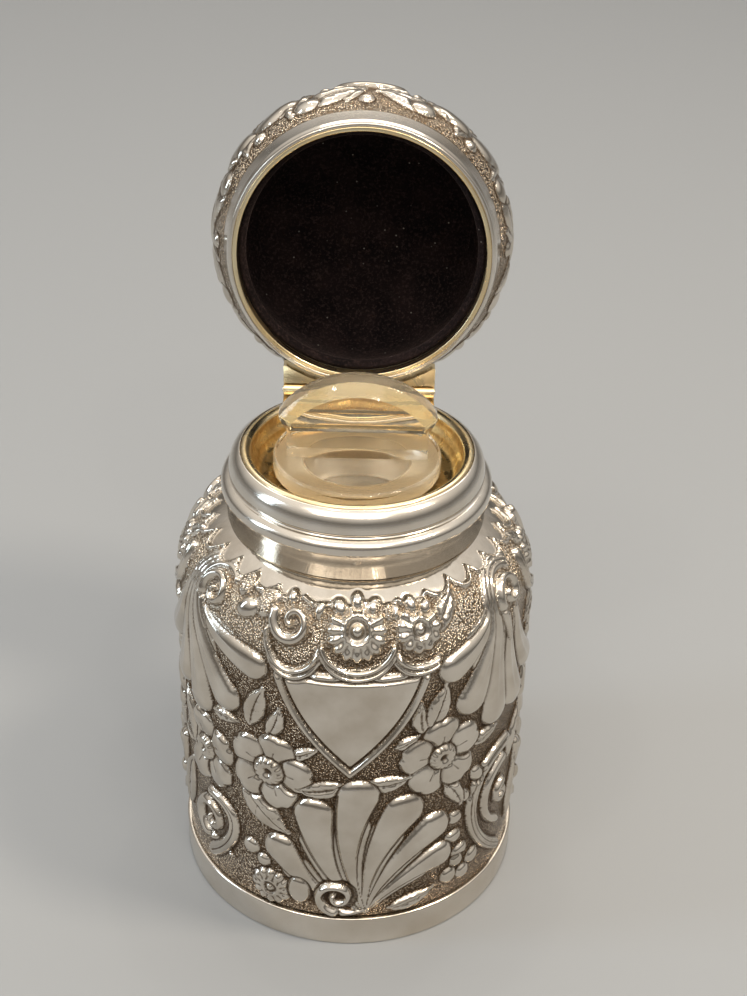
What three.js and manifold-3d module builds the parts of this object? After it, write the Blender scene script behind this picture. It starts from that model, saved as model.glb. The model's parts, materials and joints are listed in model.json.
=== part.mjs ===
// Silver-cased glass cologne bottle with a chased case, a hinged domed lid and a ground glass stopper.
// Millimetres, +Z up. The origin is on the axis, on the underside of the base. The hinge is at +Y,
// the front faces -Y, and the lid is modelled open, as it stands on its stop.

import * as THREE from "three";
import { mergeVertices } from "three/addons/utils/BufferGeometryUtils.js";
import Module from "manifold-3d";

const wasm = await Module();
wasm.setup();

// Clearance between pieces that seat on each other
const GAP = 0.3;

// Foot and base
const FOOT_PROUD = 0.6;
const FOOT_H = 6.5;
const BAND_T = 1.1;
const BAND_EDGE = 0.4;
const BASE_T = 0.9;

// Chased case wall: its ground is the matted surface that the relief stands on, and each kind of form
// has its own height over it
const GROUND_R = 32.4;
const WALL_T = 1.1;
const RELIEF_H = 1.2;
const SWAG_H = 1.1;
const BORDER_H = 1.05;
const LEAF_H = 0.9;
const BUD_H = 0.8;
const FIELD_H = 0.75;
const SHOULDER_Z = 62;
const NECK_R = 23.3;
const NECK_Z = 77.5;
const FLANGE_H = 3;
const FLANGE_T = 0.8;

// Polished neck collar: how far each form stands out from the neck, or in from it, and its rise
const COLLAR_T = 1;
const COLLAR_BAND_H = 4;
const BEAD_OUT = 1;
const BEAD_RISE = 3;
const GROOVE_IN = 0.9;
const GROOVE_RISE = 1.7;
const ROLL_IN = 0.4;
const ROLL_RISE = 1.1;
const LIP_IN = 3.5;
const LIP_RISE = 3.1;

// Gilt dish round the glass neck
const DISH_T = 0.7;
const DISH_SLOPE = 1.9;
const DISH_DEPTH = 5.2;

// Inner glass bottle, its bed, and the packing round its neck
const GLASS_ROOM = 1.3;
const GLASS_WALL = 3;
const GLASS_FOOT = 5;
const GLASS_SHOULDER_DROP = 6;
const GLASS_NECK_WALL = 3.7;
const GLASS_LIP_RISE = 0.8;
const BED_T = 2;
const PACKING_T = 8;

// Glass stopper
const DISC_ROOM = 2.6;
const DISC_T = 3;
const DISC_EDGE = 0.6;
const PLUG_TOP_R = 9.4;
const PLUG_TAPER = 1;
const PLUG_L = 18;
const STEM_IN = 2.6;
const STEM_T = 5;
const STEM_H = 4.7;
const MOON_FLARE = 1.5;
const MOON_T = 7.8;
const MOON_HEEL = 3;
const MOON_RISE = 7.2;
const MOON_BEVEL = 1.5;

// Lid, in its closed place
const LID_WALL = 0.9;
const RIM_H = 5.2;
const RIM_FLARE = 1.3;
const RIM_EDGE = 1.6;
const DOME_BULGE = 2.1;
const DOME_H = 23.6;
const DOME_RELIEF = 0.9;
const FORMER_T = 1;
const VELVET_T = 1.4;
const LINER_T = 0.6;
const LINER_H = 2.6;

// Hinge
const OPEN_DEG = 97;
const HINGE_HALF = 14.5;
const BARREL_R = 1.15;
const BARREL_OUT = 0.45;
const BARREL_RISE = 0.6;
const PIN_R = 0.45;
const PIN_PROUD = 0.2;
const LEAF_T = 1.1;
const LEDGE_OUT = 2.5;
const COVER_OUT = 0.85;
const KNUCKLES = 5;

// Facets round a turn
const ROUND = 28;
const ROUND_CHASED = 28;
const ROUND_SOFT = 18;
const ROUND_HIDDEN = 16;
const ROUND_PIN = 10;
const ROUND_PLATE = 48;

// The chased pattern is drawn on a flat sheet that wraps half a turn of the case, and is repeated
const SHEET_W = 103;
const SHEET_H = 75;
const DOME_SHEET_W = 60;
const DOME_SHEET_H = 36;
const REPEATS = 2;

// How deep the foot of each raised form is let into the wall, and the smallest step that is kept
const SINK = 0.35;
const MERGE = 0.12;

// How far the level top of a mound reaches towards its outline
const MOUND_TOP = 0.75;

// Where a lobe's own metal starts between its root and its tip
const LOBE_BEGIN = 0.3;

// Places that follow from the sizes above
const footR = GROUND_R + FOOT_PROUD;
const bandR = footR - BAND_T;
const caseFootZ = FOOT_H + GAP;
const wallInnerR = GROUND_R - WALL_T;
const flangeR = NECK_R - COLLAR_T - GAP;
const collarInnerR = flangeR + GAP;
const collarZ = NECK_Z + GAP;
const collarBandTop = NECK_Z + COLLAR_BAND_H;
const beadR = NECK_R + BEAD_OUT;
const beadZ = collarBandTop + BEAD_RISE;
const grooveR = NECK_R - GROOVE_IN;
const grooveZ = beadZ + GROOVE_RISE;
const rollR = NECK_R - ROLL_IN;
const rollZ = grooveZ + ROLL_RISE;
const lipR = NECK_R - LIP_IN;
const lipZ = rollZ + LIP_RISE;
const dishEdgeR = lipR - GAP;
const dishR = dishEdgeR - DISH_SLOPE;
const dishFloorZ = lipZ - DISH_DEPTH;
const bedZ = BASE_T + GAP;
const glassZ = bedZ + BED_T + GAP;
const glassR = wallInnerR - GLASS_ROOM;
const glassShoulderZ = SHOULDER_Z - GLASS_SHOULDER_DROP;
const glassLipZ = dishFloorZ + GLASS_LIP_RISE;
const plugEndR = PLUG_TOP_R - PLUG_TAPER;
const boreTopR = PLUG_TOP_R + GAP;
const boreEndR = plugEndR + GAP;
const glassNeckR = boreTopR + GLASS_NECK_WALL;
const discR = dishR - DISC_ROOM;
const discZ = glassLipZ + GAP;
const discTop = discZ + DISC_T;
const plugEndZ = discZ - PLUG_L;
const stemHalf = discR - STEM_IN;
const moonHalf = stemHalf + MOON_FLARE;
const mouthZ = grooveZ + GAP;
const mouthR = rollR + GAP;
const seatR = mouthR + LINER_T + GAP;
const rimR = mouthR + RIM_EDGE;
const rimTopZ = mouthZ + RIM_H;
const rimTopR = rimR + RIM_FLARE;
const domeZ = rimTopZ + GAP;
const domeR = rimTopR + DOME_BULGE;
const velvetZ = mouthZ + LINER_H + GAP;
const hingeY = rimR + BARREL_R + GAP + BARREL_OUT;
const hingeZ = mouthZ + BARREL_RISE;

function material(color, roughness, metalness) {
  return new THREE.MeshStandardMaterial({ color, roughness, metalness });
}

const CHASED_SILVER = material(0xb9b3a8, 0.35, 1);
const SILVER = material(0xd2cec6, 0.12, 1);
const GILT = material(0xcf9f52, 0.2, 1);
const GLASS = material(0xd9cfb8, 0.05, 0);
const VELVET = material(0x120b0d, 0.95, 0);
const CARD = material(0x8c7a5c, 0.9, 0);
const CORK = material(0xa9825a, 0.9, 0);
const PLASTER = material(0xd8d2c4, 0.85, 0);

// Joins shared corners, drops triangles without area and turns every face outward
function closed(source) {
  const bare = new THREE.BufferGeometry();
  bare.setAttribute("position", source.getAttribute("position").clone());
  bare.setIndex(source.getIndex() ? source.getIndex().clone() : null);
  const merged = mergeVertices(bare, 1e-4);
  const position = merged.getAttribute("position");
  const index = Array.from(merged.getIndex().array);
  const kept = [];
  const [a, b, c] = [new THREE.Vector3(), new THREE.Vector3(), new THREE.Vector3()];
  let volume = 0;
  for (let i = 0; i < index.length; i += 3) {
    const [p, q, r] = index.slice(i, i + 3);
    if (p === q || q === r || r === p) continue;
    kept.push(p, q, r);
    a.fromBufferAttribute(position, p);
    b.fromBufferAttribute(position, q);
    c.fromBufferAttribute(position, r);
    volume += a.dot(b.cross(c)) / 6;
  }
  if (volume < 0) kept.reverse();
  merged.setIndex(kept);
  return merged;
}

// A profile of [radius, height] points turned about the Z axis
function revolve(profile, segments = ROUND) {
  const points = profile.map(([r, z]) => new THREE.Vector2(r, z));
  return closed(new THREE.LatheGeometry(points, segments).rotateX(Math.PI / 2));
}

// A closed ring of the given cross-section
function ring(profile, segments = ROUND) {
  return revolve([...profile, profile[0]], segments);
}

function solid(geometry) {
  const merged = closed(geometry);
  return new wasm.Manifold(new wasm.Mesh({
    numProp: 3,
    vertProperties: new Float32Array(merged.getAttribute("position").array),
    triVerts: new Uint32Array(merged.getIndex().array),
  }));
}

function geometryOf(manifold) {
  const mesh = manifold.getMesh();
  const geometry = new THREE.BufferGeometry();
  geometry.setAttribute("position", new THREE.BufferAttribute(new Float32Array(mesh.vertProperties), 3));
  geometry.setIndex(Array.from(mesh.triVerts));
  return closed(geometry);
}

// Points along a cubic curve through [radius, height] control points
function curve(points, steps) {
  const [a, b, c, d] = points.map(([r, z]) => new THREE.Vector2(r, z));
  return new THREE.CubicBezierCurve(a, b, c, d).getSpacedPoints(steps).map((p) => [p.x, p.y]);
}

// Gives the place on a turned surface that lies under a point of the flat sheet, lifted off by some height
function wrapped(profile, sheetW, sheetH) {
  const lengths = [0];
  profile.slice(1).forEach(([r, z], i) => {
    const [lastR, lastZ] = profile[i];
    lengths.push(lengths[i] + Math.hypot(r - lastR, z - lastZ));
  });
  const total = lengths[lengths.length - 1];
  return (x, y, lift) => {
    const run = THREE.MathUtils.clamp(y / sheetH, 0, 1) * total;
    const i = Math.min(lengths.findIndex((length) => length > run), profile.length - 1);
    const above = i < 1 ? profile.length - 1 : i;
    const [[r0, z0], [r1, z1]] = [profile[above - 1], profile[above]];
    const span = lengths[above] - lengths[above - 1];
    const share = (run - lengths[above - 1]) / span;
    const radius = THREE.MathUtils.lerp(r0, r1, share) + (lift * (z1 - z0)) / span;
    const angle = (Math.PI * x) / sheetW - Math.PI / 2;
    const z = THREE.MathUtils.lerp(z0, z1, share) - (lift * (r1 - r0)) / span;
    return [radius * Math.cos(angle), radius * Math.sin(angle), z];
  };
}

// Sections of raised forms: places across the half-width, and shares of the height, where 0 is sunk
const THUMB = [[-1, 0], [-0.75, 1], [0.75, 1], [1, 0]];
const RIB = [[-1, 0], [0, 1], [1, 0]];
const BLADE = [[-1, 0], [-0.7, 1], [0, 0.6], [0.7, 1], [1, 0]];
const PLATE = [[-1, 0], [-0.94, 1], [-0.5, 1], [0, 1], [0.5, 1], [0.94, 1], [1, 0]];

// A raised form that follows stations of { at, width, height } over the sheet
function sweep(place, stations, section) {
  const positions = [];
  const faces = [];
  const count = section.length;
  const last = stations.length - 1;
  stations.forEach((station, i) => {
    const before = stations[Math.max(i - 1, 0)].at;
    const after = stations[Math.min(i + 1, last)].at;
    const side = new THREE.Vector2(after.y - before.y, before.x - after.x).normalize();
    section.forEach(([across, share]) => {
      const at = station.at.clone().addScaledVector(side, across * station.width);
      positions.push(...place(at.x, at.y, share > 0 ? share * station.height : -SINK));
    });
  });
  for (let i = 0; i < last; i += 1) {
    for (let j = 0; j < count; j += 1) {
      const next = (j + 1) % count;
      const [a, b] = [i * count + j, i * count + next];
      faces.push(a, b, b + count, a, b + count, a + count);
    }
  }
  for (let k = 1; k < count - 1; k += 1) {
    faces.push(0, k + 1, k, last * count, last * count + k, last * count + k + 1);
  }
  return solidOf(positions, faces);
}

function solidOf(positions, faces) {
  const geometry = new THREE.BufferGeometry();
  geometry.setAttribute("position", new THREE.Float32BufferAttribute(positions, 3));
  geometry.setIndex(faces);
  return solid(geometry);
}

// A raised form about a centre: sides that slope up to a smaller copy of its outline, and a crowned top
function mound([x, y], outline, height) {
  return (place) => {
    const count = outline.length;
    const positions = [...place(x, y, -SINK), ...place(x, y, height)];
    [[1, -SINK], [MOUND_TOP, height]].forEach(([share, lift]) => {
      outline.forEach((point) => positions.push(...place(x + share * point.x, y + share * point.y, lift)));
    });
    const faces = [];
    for (let i = 0; i < count; i += 1) {
      const [p, q] = [2 + i, 2 + ((i + 1) % count)];
      faces.push(0, q, p, p, q, q + count, p, q + count, p + count, 1, p + count, q + count);
    }
    return solidOf(positions, faces);
  };
}

function boss(at, radius, height, sides = 8, stretch = 1, turn = 0) {
  const outline = [];
  for (let i = 0; i < sides; i += 1) {
    const angle = (2 * Math.PI * i) / sides;
    const point = new THREE.Vector2(stretch * Math.cos(angle), Math.sin(angle)).multiplyScalar(radius);
    outline.push(point.rotateAround(new THREE.Vector2(), THREE.MathUtils.degToRad(turn)));
  }
  return mound(at, outline, height);
}

// A flower of broad petals with notches between them, about a higher boss
function flower(at, petals, radius, notchR, centreR, start, height) {
  const outline = [];
  const edge = [[-0.5, notchR], [-0.2, radius], [0.2, radius]];
  for (let i = 0; i < petals; i += 1) {
    edge.forEach(([share, r]) => {
      const angle = THREE.MathUtils.degToRad(start) + (2 * Math.PI * (i + share)) / petals;
      outline.push(new THREE.Vector2(r * Math.cos(angle), r * Math.sin(angle)));
    });
  }
  return [mound(at, outline, 0.7 * height), boss(at, centreR, height)];
}

// Stations along a quadratic curve from a share of its length, with widths for its start, middle and end
function stationsAlong(from, via, to, [startW, middleW, endW], height, steps, begin = 0) {
  const path = new THREE.QuadraticBezierCurve(
    new THREE.Vector2(...from), new THREE.Vector2(...via), new THREE.Vector2(...to));
  const stations = [];
  for (let i = 0; i <= steps; i += 1) {
    const t = i / steps;
    const width = (1 - t) ** 2 * startW + 2 * t * (1 - t) * middleW + t ** 2 * endW;
    stations.push({ at: path.getPoint(begin + (1 - begin) * t), width, height });
  }
  return stations;
}

function ridge(from, via, to, width, height, steps = 4) {
  return (place) => sweep(place, stationsAlong(from, via, to, [width, width, width], height, steps), RIB);
}

// A lobe that leaves its root narrow and swells to a round tip
function lobe([x, y], [tipX, tipY], [bendX, bendY], rootW, tipW, height) {
  return (place) => {
    const via = [x + bendX * (tipX - x), y + bendY * (tipY - y)];
    const widths = [rootW, 0.6 * tipW, tipW];
    const stations = stationsAlong([x, y], via, [tipX, tipY], widths, height, 2, LOBE_BEGIN);
    const tip = stations[stations.length - 1].at;
    const ahead = new THREE.Vector2(tipX - via[0], tipY - via[1]).normalize();
    const end = tip.clone().addScaledVector(ahead, 0.9 * tipW);
    stations.push({ at: end, width: 0.5 * tipW, height: 0.7 * height });
    return sweep(place, stations, THUMB);
  };
}

function fan(root, tips, bend, rootW, height) {
  return tips.map(([x, y, width]) => lobe(root, [x, y], bend, rootW, width, height));
}

// A pointed leaf with a sunk midrib
function leaf(from, to, width) {
  const middle = [(from[0] + to[0]) / 2, (from[1] + to[1]) / 2];
  const widths = [0.2 * width, 1.9 * width, 0.1 * width];
  return (place) => sweep(place, stationsAlong(from, middle, to, widths, LEAF_H, 3), BLADE);
}

// A scroll that winds out from the bead in its eye
function scroll([x, y], radius, turns, start, width, height) {
  const eyeR = 1.3 * width;
  const steps = Math.round(5 * turns);
  const spiral = (place) => {
    const stations = [];
    for (let i = 0; i <= steps; i += 1) {
      const t = i / steps;
      const angle = THREE.MathUtils.degToRad(start) + turns * 2 * Math.PI * (1 - t);
      const r = THREE.MathUtils.lerp(eyeR, radius, t);
      const at = new THREE.Vector2(x + r * Math.cos(angle), y + r * Math.sin(angle));
      stations.push({ at, width, height });
    }
    return sweep(place, stations, RIB);
  };
  return [spiral, boss([x, y], 0.8 * width, height, 6)];
}

// A vacant shield: a level field with a border down each side
function shield(half, topY, tipY, border) {
  const side = new THREE.CubicBezierCurve(
    new THREE.Vector2(0, tipY), new THREE.Vector2(0.4 * half, tipY + 6),
    new THREE.Vector2(0.85 * half, tipY + 12), new THREE.Vector2(half, topY)).getSpacedPoints(4);
  const field = side.map(({ x, y }) => {
    const at = new THREE.Vector2(0, y);
    return { at, width: Math.max(x, border), height: FIELD_H };
  });
  const edges = [1, -1].map((sign) => side.map(({ x, y }) => {
    const at = new THREE.Vector2(sign * x, y);
    return { at, width: border, height: BORDER_H };
  }));
  return [(place) => sweep(place, field, PLATE), ...edges.map((edge) => (place) => sweep(place, edge, RIB))];
}

// Everything raised on one repeat of the case, in sheet millimetres from its middle and its foot
function caseMotifs() {
  const upright = [0.24, 0.5];
  const spread = [0.42, 0.3];
  const palmette = [
    [-13.1, 15.2, 3.1], [17.8, 12.2, 3], [-6.5, 25.2, 3.7],
    [16.4, 20, 3.3], [10.3, 25.8, 3.7], [1.7, 30.2, 3.9]];
  const leftFan = [
    [-46.2, 49, 3], [-39.8, 43, 3.3], [-32.2, 41.4, 3.6], [-24.8, 46.4, 3.7], [-18.4, 56, 3.2]];
  const rightFan = [
    [44, 44.8, 3], [37.4, 40.8, 3.3], [30.2, 41.2, 3.6], [23.5, 47.2, 3.7], [18.9, 56, 3.1]];
  return [
    fan([2.9, 1.6], palmette, upright, 0.5, RELIEF_H),
    scroll([-2.3, 5.4], 3.9, 1.25, -70, 1.1, RELIEF_H),
    fan([-31.6, 62.6], leftFan, spread, 0.7, RELIEF_H),
    scroll([-29.4, 66], 4.3, 1.3, 215, 1, RELIEF_H),
    fan([31.6, 63.6], rightFan, spread, 0.7, RELIEF_H),
    scroll([34.8, 63.8], 4.7, 1.3, 150, 1, RELIEF_H),
    flower([-15.2, 33.2], 5, 8.8, 6.4, 3.1, 75, RELIEF_H),
    flower([17.5, 36.5], 5, 8.8, 6.4, 2.8, 93, RELIEF_H),
    flower([51.5, 34.5], 5, 8.6, 6.2, 2.8, 90, RELIEF_H),
    flower([-31.5, 29.5], 5, 8.6, 6.2, 2.7, 30, RELIEF_H),
    boss([51.5, 63.5], 3.6, BUD_H, 6),
    boss([0.7, 66.9], 4.5, BUD_H, 8),
    boss([13.4, 65.2], 3.5, BUD_H, 6),
    boss([-11.4, 66.6], 3.2, BUD_H, 6),
    boss([-15, 4.4], 4.2, BUD_H, 6),
    boss([-9.2, 5.6], 2.3, BUD_H, 6, 1.45, 90),
    leaf([-19, 42.5], [-16.2, 51.5], 2.2),
    leaf([14.6, 44.2], [17.4, 53], 2.3),
    leaf([-20.5, 27.5], [-11.5, 19.5], 3.2),
    scroll([-30, 13], 4.6, 0.9, 55, 1.3, SWAG_H),
    ridge([35.5, 30], [19, 22], [35, 3.5], 1.6, RELIEF_H, 5),
    boss([35.2, 17.5], 3.4, LEAF_H, 6),
    fan([51.5, 3], [[45.2, 14, 2.2], [51.5, 21, 2.4], [57.8, 14, 2.2]], upright, 0.5, RELIEF_H),
    ridge([-15.2, 64.6], [-10.6, 53.4], [-5.4, 62.7], 1.6, SWAG_H),
    ridge([7.4, 62.9], [8.8, 57.4], [15, 58.6], 1.5, SWAG_H, 3),
    ridge([-5.4, 63.2], [0.9, 55.4], [7.3, 63.2], 1.8, SWAG_H),
    shield(14.5, 58.1, 34.8, 0.7),
  ].flat();
}

// Scrolls and flowers in turn round the dome, and fans towards the crown, on one repeat of its sheet
function domeMotifs() {
  const parts = [];
  [-30, 0].forEach((x) => {
    parts.push(boss([x + 1.5, 12], 5.4, 0.8 * DOME_RELIEF, 6));
    parts.push(ridge([x - 10, 8], [x - 7, 24], [x + 8, 22], 1.6, DOME_RELIEF, 3));
  });
  [-15, 15].forEach((x) => {
    const tips = [[x - 8, 27.2, 3.3], [x, 23.6, 3.6], [x + 8, 27.2, 3.3]];
    parts.push(...fan([x, 35], tips, [0.3, 0.4], 1.2, DOME_RELIEF));
    parts.push(...flower([x, 11], 5, 8, 5.6, 2.5, 90, DOME_RELIEF));
  });
  return parts;
}

// A turned body with its raised forms, each repeated round it
function chased(profile, segments, motifs, sheetW, sheetH) {
  const place = wrapped(profile, sheetW, sheetH);
  const [foot, top] = [profile[0], profile[profile.length - 1]];
  const forms = [solid(revolve([[0, foot[1]], ...profile, [0, top[1]]], segments))];
  motifs.forEach((motif) => {
    for (let repeat = 0; repeat < REPEATS; repeat += 1) {
      forms.push(motif((x, y, lift) => place(x + repeat * sheetW, y, lift)));
    }
  });
  return wasm.Manifold.union(forms).simplify(MERGE);
}

// The case's outline from its foot to its neck, drawn in by some thickness
function caseCurve(inset, steps) {
  const r = GROUND_R - inset;
  const neckR = NECK_R - inset;
  const depth = NECK_Z - SHOULDER_Z;
  const shoulder = [
    [r, SHOULDER_Z - inset], [r, SHOULDER_Z + 0.62 * depth - inset],
    [neckR + 0.68 * (r - neckR), NECK_Z - 0.15 * depth - inset], [neckR, NECK_Z - inset]];
  return curve(shoulder, steps);
}

function caseWall() {
  const profile = [[GROUND_R, caseFootZ], ...caseCurve(0, 5)];
  const skin = chased(profile, ROUND_CHASED, caseMotifs(), SHEET_W, SHEET_H);
  const innerNeckR = flangeR - FLANGE_T;
  const flangeTop = NECK_Z + FLANGE_H;
  const flange = revolve([
    [0, NECK_Z - WALL_T], [flangeR, NECK_Z - WALL_T], [flangeR, flangeTop], [0, flangeTop]], ROUND);
  const inner = caseCurve(WALL_T, 5).filter(([r]) => r > innerNeckR);
  const hollow = revolve([
    [0, 0], [wallInnerR, 0], ...inner, [innerNeckR, NECK_Z - WALL_T],
    [innerNeckR, flangeTop + 1], [0, flangeTop + 1]], ROUND_HIDDEN);
  return geometryOf(skin.add(solid(flange)).subtract(solid(hollow)));
}

function footBand() {
  return ring([
    [bandR, 0], [footR - BAND_EDGE, 0], [footR, BAND_EDGE],
    [footR, FOOT_H - BAND_EDGE], [footR - BAND_EDGE, FOOT_H], [bandR, FOOT_H]], ROUND);
}

function basePlate() {
  const r = bandR - GAP;
  return revolve([[0, 0], [r, 0], [r, BASE_T], [0, BASE_T]]);
}

// Neck collar: plain band, bead, groove, roll and turned-in lip
function neckCollar() {
  const innerTopR = collarInnerR - 0.9;
  return ring([
    [collarInnerR, collarZ], [NECK_R, collarZ], [NECK_R, collarBandTop],
    [beadR - 0.3, beadZ - 1.2], [beadR, beadZ], [beadR - 0.5, beadZ + 1.1], [grooveR, grooveZ],
    [rollR, rollZ - 0.3], [rollR - 0.2, rollZ + 1],
    [rollR - 1.2, rollZ + 2.3], [lipR + 0.9, lipZ - 0.2], [lipR + 0.2, lipZ],
    [lipR + 0.2, lipZ - 0.9], [innerTopR, rollZ], [innerTopR, beadZ], [collarInnerR, collarBandTop]]);
}

// Gilt dish: turned-down edge, sloping wall, and a floor with a hole for the glass neck
function giltDish() {
  const edgeZ = lipZ - 0.3;
  const holeR = glassNeckR + GAP;
  return ring([
    [dishEdgeR, edgeZ], [dishEdgeR - DISH_T, edgeZ], [dishEdgeR - DISH_T - 0.3, dishFloorZ + 1.6],
    [dishR, dishFloorZ + 0.5], [dishR - 0.8, dishFloorZ], [holeR, dishFloorZ],
    [holeR, dishFloorZ - DISH_T], [dishR, dishFloorZ - DISH_T], [dishR + 0.9, dishFloorZ + 0.6],
    [dishEdgeR, dishFloorZ + 2]]);
}

// Inner bottle: its shoulder runs from the wall to the neck outside and from the bore to the wall inside
function glassBottle() {
  const innerR = glassR - GLASS_WALL;
  const floor = glassZ + GLASS_FOOT;
  const boreFootZ = plugEndZ - 1;
  const neckFootZ = plugEndZ + 2.7;
  const outerZ = (share) => THREE.MathUtils.lerp(glassShoulderZ, neckFootZ, share);
  const innerZ = (share) => THREE.MathUtils.lerp(glassShoulderZ - 1, boreFootZ, share);
  const outerR = (share) => THREE.MathUtils.lerp(glassR, glassNeckR, share);
  return revolve([
    [0, glassZ + 1.2], [glassR - 6, glassZ + 1.2], [glassR - 5, glassZ], [glassR - 1.5, glassZ],
    [glassR, glassZ + 1.5], [glassR, glassShoulderZ], [outerR(0.15), outerZ(0.37)],
    [outerR(0.51), outerZ(0.63)], [outerR(0.91), outerZ(0.84)],
    [glassNeckR, neckFootZ], [glassNeckR, glassLipZ - 0.5],
    [glassNeckR - 0.5, glassLipZ], [boreTopR, glassLipZ], [boreEndR, boreFootZ],
    [boreEndR + 2, innerZ(0.7)], [innerR - 6, innerZ(0.48)],
    [innerR, innerZ(0)], [innerR, floor + 3], [innerR - 3, floor], [0, floor]], ROUND_HIDDEN);
}

function bottleBed() {
  const r = bandR - GAP;
  return revolve([[0, bedZ], [r, bedZ], [r, bedZ + BED_T], [0, bedZ + BED_T]], ROUND_HIDDEN);
}

// Packing that holds the glass neck in the collar, under the gilt dish
function neckPacking() {
  const top = dishFloorZ - DISH_T - GAP;
  const innerR = glassNeckR + GAP;
  const outerR = flangeR - FLANGE_T - GAP;
  return ring([
    [innerR, top - PACKING_T], [outerR, top - PACKING_T], [outerR, top - 1.2],
    [dishR - 0.5, top], [innerR, top]], ROUND_HIDDEN);
}

// The half-moon finger grip with bevelled edges, on a short flat stem
function stopperGrip() {
  const heelZ = discTop + STEM_H + MOON_HEEL;
  const radius = (moonHalf ** 2 + MOON_RISE ** 2) / (2 * MOON_RISE);
  const centreZ = heelZ + MOON_RISE - radius;
  const end = Math.asin((heelZ - centreZ) / radius);
  const outline = new THREE.Shape();
  outline.moveTo(-stemHalf, heelZ - MOON_HEEL);
  outline.lineTo(stemHalf, heelZ - MOON_HEEL);
  outline.lineTo(moonHalf, heelZ);
  outline.absarc(0, centreZ, radius, end, Math.PI - end, false);
  outline.closePath();
  const options = {
    depth: MOON_T - 2 * MOON_BEVEL, bevelEnabled: true, bevelThickness: MOON_BEVEL,
    bevelSize: MOON_BEVEL, bevelOffset: -MOON_BEVEL, bevelSegments: 1, curveSegments: 12 };
  const moon = new THREE.ExtrudeGeometry(outline, options).translate(0, 0, MOON_BEVEL - MOON_T / 2);
  const rootedIn = 1;
  const stemH = rootedIn + STEM_H + MOON_BEVEL + 0.5;
  const stem = new THREE.BoxGeometry(2 * stemHalf, STEM_T, stemH);
  stem.translate(0, 0, discTop - rootedIn + stemH / 2);
  return solid(moon.rotateX(Math.PI / 2)).add(solid(stem));
}

function glassStopper() {
  const turned = revolve([
    [0, plugEndZ], [plugEndR, plugEndZ], [PLUG_TOP_R, discZ], [discR - DISC_EDGE, discZ],
    [discR, discZ + DISC_EDGE], [discR, discTop - DISC_EDGE], [discR - DISC_EDGE, discTop], [0, discTop]]);
  return geometryOf(solid(turned).add(stopperGrip()));
}

// Plain polished rim: a flat seat that flares up to the dome
function lidRim() {
  const shoulderZ = rimTopZ - 1.7;
  return ring([
    [seatR, mouthZ], [rimR - 0.3, mouthZ], [rimR, mouthZ + 0.3], [rimR + 0.4, mouthZ + 1.5],
    [rimR + 0.7, shoulderZ], [rimTopR, rimTopZ], [rimTopR - LID_WALL, rimTopZ],
    [rimR - 0.3, shoulderZ], [seatR, mouthZ + LINER_H + 0.8]]);
}

function lidLiner() {
  const outerR = mouthR + LINER_T;
  return ring([[mouthR, mouthZ], [outerR, mouthZ], [outerR, mouthZ + LINER_H], [mouthR, mouthZ + LINER_H]]);
}

// The dome's outline from its lower edge to its crown, drawn in by some thickness
function domeCurve(inset, steps) {
  const crownZ = domeZ + DOME_H - inset;
  const waist = [domeR - 0.4 - inset, domeZ + 0.45 * DOME_H];
  const lower = curve([
    [rimTopR - inset, domeZ], [domeR - inset, domeZ + 0.12 * DOME_H],
    [domeR + 0.6 - inset, domeZ + 0.3 * DOME_H], waist], steps);
  const upper = curve([
    waist, [domeR - 2.6 - inset, domeZ + 0.85 * DOME_H - inset],
    [0.55 * domeR, crownZ], [0, crownZ]], 2 * steps);
  return [...lower, ...upper.slice(1)];
}

function lidDome() {
  const profile = domeCurve(0, 2).slice(0, -1);
  const skin = chased(profile, ROUND_CHASED, domeMotifs(), DOME_SHEET_W, DOME_SHEET_H);
  const inner = domeCurve(LID_WALL, 2);
  const hollow = revolve([[0, domeZ - 1], [rimTopR - LID_WALL, domeZ - 1], ...inner], ROUND_SOFT);
  return geometryOf(skin.subtract(solid(hollow)));
}

// The outer face of a shell that lies inside the dome and goes down to its foot within the rim
function shellFace(inset, footZ) {
  const edgeR = rimR - 0.3 - GAP - (inset - LID_WALL - GAP);
  return [[edgeR, footZ], ...domeCurve(inset, 2).filter(([, z]) => z > footZ + 1)];
}

function lidFormer() {
  const inset = LID_WALL + GAP;
  const footZ = rimTopZ - 1.2;
  return revolve([
    ...shellFace(inset, footZ), ...shellFace(inset + FORMER_T, footZ).reverse(),
    shellFace(inset, footZ)[0]], ROUND_SOFT);
}

// Soft lining: a shell behind the gilt liner. Its foot slopes clear of the collar's lip in a shut lid
function velvetLining() {
  const inset = LID_WALL + 2 * GAP + FORMER_T;
  const outer = shellFace(inset, velvetZ);
  const inner = shellFace(inset + VELVET_T, lipZ + GAP);
  return revolve([...outer, ...inner.reverse(), [outer[0][0] - 0.3, velvetZ], outer[0]], ROUND_SOFT);
}

// A hinge plate: straight at the back and hollowed where it meets the collar or the rim
function leafPlate(innerR, backY, low, high) {
  const frontY = Math.sqrt(innerR ** 2 - HINGE_HALF ** 2) + GAP;
  const block = new THREE.BoxGeometry(2 * HINGE_HALF, backY - frontY, high - low);
  block.translate(0, (backY + frontY) / 2, (low + high) / 2);
  const hollow = revolve([[0, low - 1], [innerR, low - 1], [innerR, high + 1], [0, high + 1]], ROUND_PLATE);
  return solid(block).subtract(solid(hollow));
}

function bodyHingeLeaf() {
  const top = hingeZ - BARREL_R - GAP;
  return geometryOf(leafPlate(beadR + GAP, hingeY + LEDGE_OUT, top - LEAF_T, top));
}

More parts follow.
